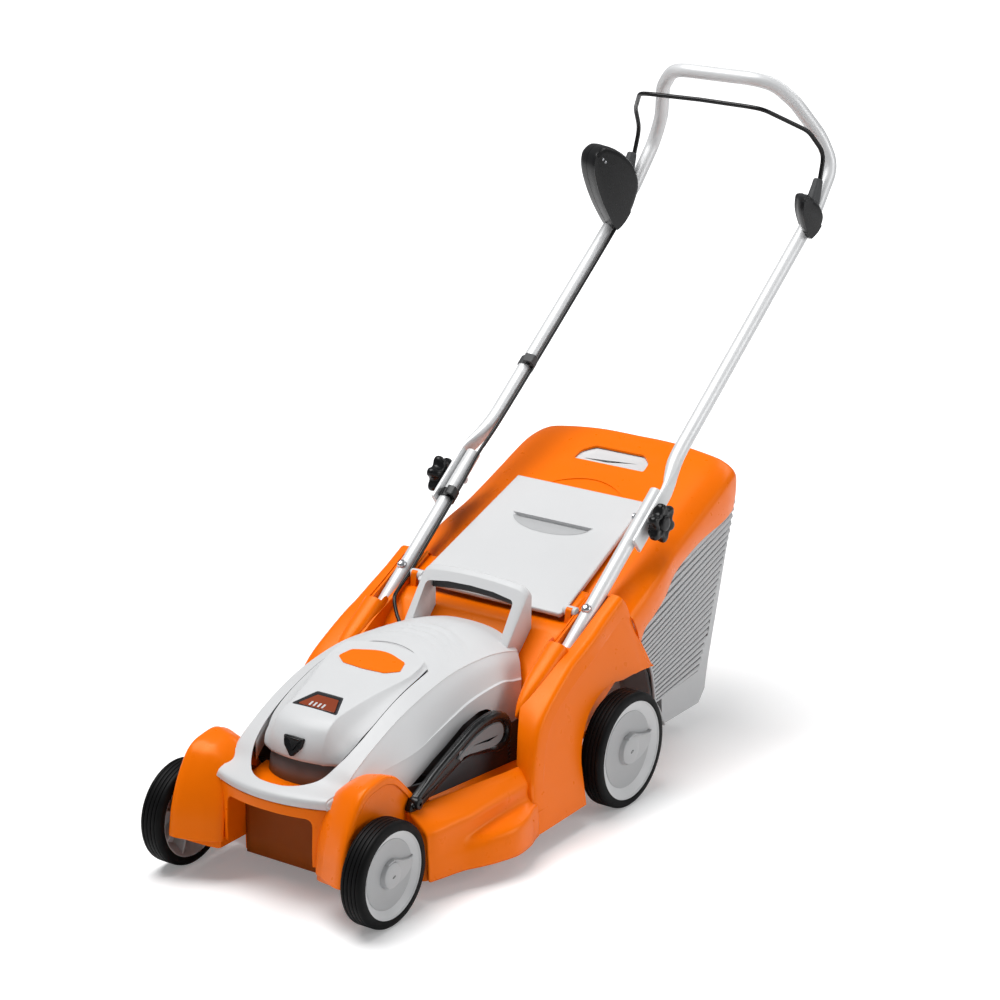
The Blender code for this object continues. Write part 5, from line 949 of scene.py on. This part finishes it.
# %% Stepped skirts
SKIRT = [(-421, (150, 128), (160, 125), (176, 113), (184, 105), (187.5, 99), (188.5, 88), (189, 76), (189.5, 66),
          (190, 56), (190, 31)),
         (-405, (152, 128), (163, 125), (180, 114), (189, 106), (193, 100), (193.5, 88), (194, 77), (194.5, 66),
          (195, 56), (195, 31)),
         (-367, (160, 128), (174, 122), (189, 112), (196, 106), (199, 100), (199, 88), (200, 78), (203, 66),
          (206, 54), (206, 31)),
         (-345, (165, 128), (179, 122), (193, 112), (200, 106), (203, 100), (202.5, 88), (203.5, 78), (211, 70),
          (217, 58), (218, 31)),
         (-320, (170, 128), (184, 122), (197, 113), (203, 107), (205.5, 101), (205, 89), (207, 80), (220, 74),
          (228.5, 63), (229.5, 31)),
         (-285, (178, 128), (190, 123), (201, 114), (206, 108), (208, 102), (207.5, 92), (210.5, 83), (228, 77),
          (238.5, 67), (240, 31)),
         (-250, (186, 128), (196, 123), (204, 115), (208.5, 109), (210.5, 103), (210.5, 93), (213.5, 85), (227, 79),
          (235.5, 70), (237, 31)),
         (-228, (190, 128), (199, 123), (206, 115), (210, 109), (212, 103), (212.5, 94), (215, 87), (222, 80),
          (228, 72), (230, 31)),
         (-215, (192, 128), (200, 123), (207, 115), (211, 109), (213, 103), (213.5, 94), (215.5, 87), (220, 80),
          (225, 72), (227, 31))]
for hand, side in HANDS:
    rows = net([[(side * x, y, z) for x, z in points] for y, *points in SKIRT], 6, 5)
    rings = [[at(*p) for p in row] for row in rows]
    middle = at(side * 165, -421, 60)
    lead = [[p + Vector((0, -share, 0)) * 3 * MM + (middle - p) * inset for p in rings[0]]
            for share, inset in ((1, 0.14), (0.95, 0.05), (0.55, 0.015))]
    sheet(f"skirt_{hand}", lead + rings, ORANGE, wall=1.5, crease=60)
print("skirts made")

# %% [markdown]
# ### Fenders, sockets and the flap's hinge
#
# The fender climbs over the rear wheel to the handle's socket. It is drawn as rows that run from its
# upper edge outwards and down the flank, and the wheel's room is sawn out of it. A tapering socket
# holds the tube, a round bolt pins it, and a ledge with a sleeve beside it carries the flap's pin.

# %% Fenders
FENDER = [((-226.5, 32), (-84, 34)), ((-225.5, 66), (-97, 66)), ((-222, 100), (-97, 96)), ((-213, 139), (-92, 123)),
          ((-199, 171), (-82, 143)), ((-176, 196.5), (-70, 158)), ((-141, 219.5), (-56, 169)),
          ((-101, 241.5), (-40, 177)),
          ((-67, 255.5), (-20, 183)), ((-31, 271.5), (5, 186)), ((8, 290.5), (40, 184)), ((37, 304.5), (60, 180)),
          ((46, 296), (70, 180)), ((71, 248), (84, 179)), ((93, 207), (95, 178)), ((108, 179), (107, 178))]


def flap_plane(y):
    # The height of the rear flap's upper face, which slopes down to the front.
    return 286.2 + (y + 4) * 0.4


def flank_half(z):
    return 227.2 if z < 40 else 227.2 - 26 * min(1, (z - 40) / 210)


def fender_row(side, edge, bottom):
    (y, z), (by, bz) = edge, bottom
    run = Vector((by - y, bz - z))
    reach, way = run.length, run.normalized() if run.length > 1 else Vector((0, -1))
    inner = 146 + 46 * min(1, max(0, (-128 - y) / 94)) ** 1.2
    band = 2.4 * min(1, max(0, (z - 100) / 60)) * min(1, max(0, (0 - y) / 40))
    out = flank_half(z) + band
    points = [(inner, 1.5), (inner + 2, 0.3), ((inner + out) / 2, -0.6), (out - 11, -0.3), (out - 6, 0.6),
              (out - 2, 3.2),
              (out - 0.4, 8), (out, 15)]
    ring = [at(side * x, y + way.x * min(d, reach), z + way.y * min(d, reach)) for x, d in points]
    for d, share in ((25.5, 1), (27, 0.92), (28.2, 0.1), (31, 0), (90, 0), (400, 0)):
        d = min(d, reach)
        at_z = z + way.y * d
        ring.append(at(side * (flank_half(at_z) + 0.3 + band * share), y + way.x * d, at_z))
    return ring


GROOVE = 16.5
channel = [(-GROOVE, 90)] + [(GROOVE * c, -GROOVE * s) for c, s in circle(1, 24)[12::-1]] + [(GROOVE, 90)]
# The wheel sinks 40 mm out of the arch when the lever lifts the deck, so the cut follows it down.
turns = circle(1, 64)
wheel_room = [(99.4 * c, 87 + 99.4 * s) for c, s in turns[:32]] + [(96 * c - 1.5, 47 + 96 * s) for c, s in turns[32:]]
SOCKET = [(-52, 270, 9, 9), (-70, 257, 16.5, 14), (-96, 240, 16.5, 14.5), (-120, 225.5, 15.5, 14),
          (-142, 211.5, 13, 13),
          (-160, 198.5, 9.5, 11), (-172, 188, 5, 8), (-178, 182, 2, 5)]
BOLT = [(1.2, -6), (0.6, -1.5), (0, -0.6), (0.2, 0.6), (1, 2.4), (2.4, 4), (4.2, 5), (4.6, 4.2), (5, 4.1)]
rows = spline([Vector((*edge, *bottom)) for edge, bottom in FENDER[:12]], 5)
rows += spline([Vector((*edge, *bottom)) for edge, bottom in FENDER[12:]], 3)
for hand, side in HANDS:
    fender = sheet(f"fender_{hand}", [fender_row(side, r[:2], r[2:]) for r in rows], ORANGE, wall=1.5, crease=50)
    sawn(fender, [[on_tube(side * (TUBE_X + a), along, b) for a, b in channel] for along in (-3, 230)])
    sawn(fender, [[at(side * x, a, b) for a, b in wheel_room] for x in (190, 260)])
    soften(fender, 0.8, 40)
    line = spline(SOCKET, 4)
    socket = swept(f"socket_{hand}", [at(side * 164, p[0], p[1]) for p in line], [(p[2], p[3]) for p in line], ORANGE,
                   sides=36, square=2.4)
    sawn(socket, [[on_tube(side * (TUBE_X + a), along, b) for a, b in channel] for along in (-6, 230)])
    bolt = plate(circle(7.6, 32), lambda a, b, h: on_tube(side * TUBE_X + a, 72 + b, TUBE + h), BOLT)
    skin(f"bolt_{hand}", bolt, STEEL, replaces=(f"tube_bolt_{hand}",))
    ledge = [[at(side * x, y, flap_plane(y) - 5.7) for x in (110, 122, 134, 145)] for y in (0, 12, 25, 39)]
    sheet(f"hinge_ledge_{hand}", ledge, ORANGE, wall=1.5)
    sleeve = [at(side * x, -4, 282) for x in (126, 127, 129, 138, 147, 149, 150)]
    swept(f"hinge_sleeve_{hand}", sleeve, [5, 7, 7.6, 7.6, 7.6, 7, 5], LIGHT, sides=32, across=(0, 1, 0))
print("fenders made")

# %% [markdown]
# ## Height lever
#
# A glossy black lever on the left flank sets the cutting height. It is a flat arm that ends in a loop
# for the hand; the loop's rim stands proud of a grey, leaf-shaped pad.

# %% Height lever
LEVER_X = 150.4


def beside(a, b, height):
    return at(LEVER_X + height, a, b)


arm = spline([(-424, 128), (-402, 126), (-364, 139), (-326, 152), (-292, 160), (-250, 152), (-215, 145), (-196, 146),
              (-187, 170), (-200, 194), (-226, 206), (-272, 202), (-314, 187), (-360, 168), (-405, 149), (-421, 139)],
             5, closed=True)
arm = skin("lever_arm", plate(arm, beside, [(1.5, 0), (0.3, 0.8), (0, 2.5), (0, 7), (0.6, 8.6), (2, 9.4), (7, 9.6)]),
           BLACK, "height_lever", ("height_lever",))
rim_path = spline([(-420, 134), (-398, 147), (-360, 165), (-314, 183), (-272, 197.5), (-230, 201), (-204, 191),
                   (-194, 172),
                   (-200, 156), (-216, 151), (-238, 156)], 5)
thick = [(4.6, 5.2)] * 8 + [(5.6, 6.6)] * (len(rim_path) - 11) + [(4.4, 5.2), (3, 3.6), (1.2, 1.6)]
loop = [at(LEVER_X + 8.6, p.x, p.y) for p in rim_path]
held_by(swept("lever_rim", loop, thick, BLACK, "height_lever", sides=28), arm)
leaf = spline([(-318, 168), (-290, 165), (-258, 160), (-232, 156), (-214, 160), (-207, 173), (-214, 187), (-236, 192),
               (-268, 189),
               (-296, 180)], 4, closed=True)
leaf = plate(leaf, beside, [(0, 8), (0.4, 11), (1.6, 12), (4, 11.4), (8, 10.6), (11, 10.4)])
held_by(skin("lever_leaf", leaf, MIDDLE, "height_lever", crease=50), arm)
boss = [(0, 9), (9.8, 9), (14.6, 8.4), (16.2, 7.2), (16.8, 5), (17, 0)]
held_by(turned("lever_boss", boss, at(LEVER_X, -411, 137), BLACK, "height_lever", sides=48), arm)
print("lever made")

# %% [markdown]
# ## Catcher lid
#
# The orange lid is a crowned tray turned upside down. Its top follows the flap's slope, its sides
# fall to the basket's rim, and its rear corners are well rounded. A shallow finger recess lies
# behind the flap, and a hand slot behind that shows a pale grip tray.

# %% Catcher lid and grip
LID = [(40, 205, 214, 0.53), (52, 205, 226, 0.52), (70, 205, 238, 0.5), (102, 205, 248, 0.36), (150, 202, 266, 0.2),
       (200, 194, 292, 0.1), (270, 191, 316, 0.03), (340, 189, 328, 0), (372, 184.5, 334, 0), (384, 181, 336, 0),
       (392, 176.5, 337, 0), (396.5, 170, 338, 0)]


def lid_crest(y):
    return 369 + (y - 227) * 0.4 - 0.0085 * max(0, y - 350) ** 2


def lid_section(y, half, low, lean):
    top = lid_crest(y)
    hollow = 4 * min(1, max(0, (y - 225) / 40)) * min(1, max(0, (375 - y) / 40))
    points = [(0, top - hollow), (0.3 * half, top - hollow), (0.55 * half, top - 3.5 - 0.4 * hollow),
              (0.8 * half, top - 10), (0.9 * half, top - 16), (half - 8, top - 22), (half - 2.6, top - 28),
              (half, top - 37), (half - 0.6, 0.5 * (top - 37 + low)), (half - 4, low)]
    if y > 390:
        points = [(x, z - (y - 390) * 1.2 if z > low + 30 else z) for x, z in points]
    return [at(x, y + max(0, 300 - z) * lean, z) for x, z in points]


rows = net([lid_section(*row) for row in LID], 6, 4)
rear = rows[-1]
for share, drop in ((0.985, 6), (0.975, 16), (0.972, 40), (0.972, 80)):
    slide = (0.6 if drop < 30 else -0.4) * MM
    rows.append([Vector((p.x * share, p.y + slide, max(337 * MM, p.z - drop * MM))) for p in rear])
lid = sheet("lid_shell", [both_sides(row) for row in rows], ORANGE, "grass_catcher", ("catcher_lid",), 3, crease=60)
recess = [(x, 268 - 22 * (x / 62) ** 2) for x in (60, 48, 36, 24, 12, 0, -12, -24, -36, -48, -60)]
recess = [(66, 226), (64, 240)] + recess + [(-64, 240), (-66, 226)]
recess = eased(recess, [0, 4] + [20] * 11 + [4, 0], 3, closed=True)
sawn(lid, [[at(x, y, lid_crest(y) - 3.4 * min(1, max(0, (y - 225) / 40)) - 2.2 + up) for x, y in recess]
           for up in (0, 60)])
slot_line = eased([(-64, 304), (64, 304), (62, 323), (44, 338), (-44, 338), (-62, 323)], [4, 4, 14, 12, 12, 14], 6,
                  closed=True)
sawn(lid, prism(slot_line, 330, 460))
seat = [(-115, -60), (115, -60), (115, 234), (-115, 234)]
sawn(lid, [[at(x * (1 + (227 - y) * 0.0005), y, flap_plane(y) + up) for x, y in seat] for up in (-2.6, 60.4)])
soften(lid, 1.2, 40)
tray = plate(slot_line, lambda a, b, h: at(a, b, lid_crest(b) - 5.2 + h - (b - 306) * 0.04),
             [(-3, -9), (-3, -2.2), (0, -2.2), (3, -3), (7, -4.6), (12, -5.2)])
skin("grip_tray", tray, LIGHT, "grass_catcher", ("grip_insert",))
print("lid made")

# %% [markdown]
# ## Rear flap
#
# The pale flap hangs between the two tubes and lies on the lid's front. It is a thin plate with a
# turned-down rim and a half-moon recess to lift it by. Where the real machine has a label with
# pictures and words, this one is left bare.

# %% Rear flap
MOON_EDGE_Y, MOON_HALF, MOON_REACH, MOON_DEPTH = 153.4, 70, 29, 7


def on_flap(x, y, height):
    return at(x, y - height * 0.37, flap_plane(y) + height * 0.93)


def moon_reach(x):
    return MOON_REACH * math.sqrt(1 - (x / MOON_HALF) ** 2)


def scoop(x, y):
    # The half-moon: deep below its straight upper edge, running out to nothing along the arc.
    if abs(x) >= MOON_HALF or y > MOON_EDGE_Y:
        return 0
    share = (MOON_EDGE_Y - y) / max(moon_reach(x), 0.1)
    return -MOON_DEPTH * max(0, 1 - share) ** 1.3 * min(1, moon_reach(x) / 12)


deep = [(-18.4, -7), (-18.6, -4), (-18.2, -1.2), (-17.2, -0.2), (-15, 0)] + [(y, 0) for y in range(-5, 120, 12)]
deep += [(y, 0) for y in [*range(122, 150, 3), 151.5, 153.2, 153.6, 156, 162, 174, 188, 202, 214, 224]]
deep += [(227, -0.2), (228.2, -1.2), (228.6, -4), (228.4, -6)]
turn_down = [(1, -7), (1, -1.6), (0.994, -0.7), (0.98, -0.1)]
wide = [(-share, down) for share, down in turn_down] + [(n / 40, 0) for n in range(-38, 39)] + turn_down[::-1]
rings = []
for y, drop in deep:
    half = 131 - 15 * (y + 6) / 234 - 5 * max(0, (-10 - y) / 8) ** 2
    rings.append([on_flap(half * share, y, min(drop, down) + (scoop(half * share, y) if abs(share) < 0.9 else 0))
                  for share, down in wide])
flap = sheet("flap_plate", rings, LIGHT, "rear_flap", ("rear_flap",), 2.5, crease=40)
# The dish is a darker grey than the flap: painted shade in the half-moon recess.
moon = []
for n in range(61):
    x = -67.5 + 135 * n / 60
    depths = [153.2 - moon_reach(x) * share for share in (0.01, 0.12, 0.26, 0.42, 0.58, 0.74, 0.9, 0.98)]
    moon.append([on_flap(x, y, scoop(x, y) + 0.25) for y in depths])
held_by(sheet("moon_dish", moon, "moon_painted_shade", "rear_flap", crease=60), flap)
print("flap made")

# %% [markdown]
# ## Catcher basket
#
# The basket's sides are louvred so that the air leaves and the grass stays. Two dozen pale slats
# follow the lid's slope at the top and turn nearly level below; each leans out over a slit, whose
# darkness is painted shade: a mid-grey sheet behind the slats. The wall over the rear wheel is painted
# mid grey as shade under the fender and ends in a light rim.

# %% Louvred sides
FRONT_RIM = [(188, 77), (185, 92), (180, 112), (174, 131), (166, 149), (154, 167), (138, 184), (118, 205), (92, 232),
             (70, 252)]
REAR_RIM = [(312, 88), (395.5, 348)]
SLATS = 24
front_line = spline(FRONT_RIM, 24)
SLAT = [(0.36, -2), (0.36, 2.2), (0.44, 2.9), (0.6, 2.7), (0.86, 1.6), (0.94, 0.8), (0.94, -2)]


def bulge(height):
    # The basket widens by 12 mm from its foot to its rim.
    return 12 * min(1, max(0, (height - 60) / 240))


for hand, side in HANDS:
    def station(share, n, out):
        near = front_line[round(min(1, max(0, share)) * (len(front_line) - 1))]
        spot = Vector(near[:2]).lerp(Vector(REAR_RIM[0]).lerp(Vector(REAR_RIM[1]), share), n / 14)
        return at(side * (160.4 + bulge(spot.y) + out), spot.x, spot.y)

    slats = bmesh.new()
    for k in range(SLATS):
        stack(slats, [[station((k + t) / SLATS, n, out - (0.4 if n in (0, 14) else 0)) for t, out in SLAT]
                      for n in range(15)])
    bmesh.ops.recalc_face_normals(slats, faces=slats.faces)
    louvre = made(f"louvre_{hand}", slats, PALE, "grass_catcher", (f"basket_grille_{hand}",), crease=30)
    # A mid-grey sheet behind the slats: painted shade in the slits.
    back = [[station(share, n, -0.2) for n in range(15)] for share in (0, 0.25, 0.5, 0.75, 1)]
    held_by(sheet(f"slit_shade_{hand}", back, MIDDLE, "grass_catcher", wall=0.8), louvre)
    rim_line = [(216.5, 32.5), (201, 62), (189, 78)] + FRONT_RIM[1:]
    path = spline([at(side * (161.5 + bulge(z)), y, z) for y, z in rim_line], 5)
    swept(f"basket_rim_{hand}", path, 2.3, PALE, "grass_catcher", sides=20)
    # The basket's front wall over the wheel is mid grey: painted shade under the fender.
    line = spline([(214, 33), (199, 60), (187, 78), (180, 108), (170, 136), (152, 165), (134, 183), (112, 206),
                   (90, 229)], 4)
    rows = [[at(side * x, p.x - 1.3, p.y) for p in line] for x in (104, 120, 140, 156, 159.5)]
    sheet(f"basket_front_{hand}", rows, MIDDLE, "grass_catcher", wall=1)
print("basket made")

# %% [markdown]
# ## Clamp knobs
#
# Each clamp knob is a black star with six soft lobes round a raised hub.

# %% Knobs
STAR = [(0, 0.5), (0.6, 0.72), (2.4, 0.8), (5, 0.86), (8, 0.97), (11, 1.0), (15, 1.0), (17.5, 0.96), (19, 0.88),
        (19.6, 0.74), (18.2, 0.58), (17.6, 0.46), (20.6, 0.42), (21.4, 0.38), (21.6, 0.2), (21.6, 0.02)]
for hand, side in HANDS:
    hub = on_tube(side * (TUBE_X + 22), FOLD)
    lane, up = ((p - on_tube(0, 0)).normalized() for p in (on_tube(0, 1), on_tube(0, 0, 1)))
    rings = []
    for depth, grow in STAR:
        ring = []
        for n in range(96):
            turn = 2 * math.pi * n / 96
            lobe = math.cos(6 * turn)
            reach = (26.4 + 4.4 * math.copysign(abs(lobe) ** 0.7, lobe) if grow > 0.5 else 26.4) * grow
            spoke = lane * math.cos(turn) + up * math.sin(turn)
            ring.append(hub + Vector((side * depth * MM, 0, 0)) + spoke * reach * MM)
        rings.append(ring)
    skin(f"star_{hand}", rings, BLACK, f"knob_{hand}", (f"clamp_knob_{hand}",), crease=50)
print("knobs made")

# %% [markdown]
# ## Control cable
#
# The cable leaves the housing, climbs beside the right tube and ends in the switch box. Each half of
# the handle carries a length of it. The piece between them bends round the fold and rides on no body.

# %% Cable
route = [at(*p) for p in ((-99, -205.6, 111), (-99, -180, 113), (-97, -152, 150), (-97, -128, 204), (-99, -106, 218),
                          (-108, -88, 232), (-124, -76, 246), (-138, -62, 262))]
route += [on_tube(*p) for p in ((-146, 30, 12), (-149, 70, 6), (-151, 120, 4), (-151.5, 180, 4), (-151.5, 246, 5))]
swept("cable_rise", spline(route, 5), 2.9, BLACK, replaces=("cable_lower",), sides=18)
route = [on_tube(*p) for p in ((-152, 306, 7), (-151.5, 360, 4), (-151, 480, 3), (-151, 620, 3), (-150.5, 740, 4),
                               (-150, 785, 6))]
swept("cable_climb", spline(route, 6), 2.9, BLACK, "upper_handle_assembly", ("cable_upper",), 18)
bend = spline([on_tube(*p) for p in ((-151.5, 240, 5), (-152, 262, 6), (-152.5, 286, 7), (-152, 312, 7))], 6)
bend = swept("cable_bend", bend, 2.8, BLACK, None, sides=18)
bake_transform(bend)
print("cable made")

# %% Sizes and finish
shown_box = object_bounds()
sizes = {"cad_box": [list(corner) for corner in cad_box], "shown_box": [list(corner) for corner in shown_box]}
print("box of the dressed mower:", [round(v, 4) for corner in shown_box for v in corner])
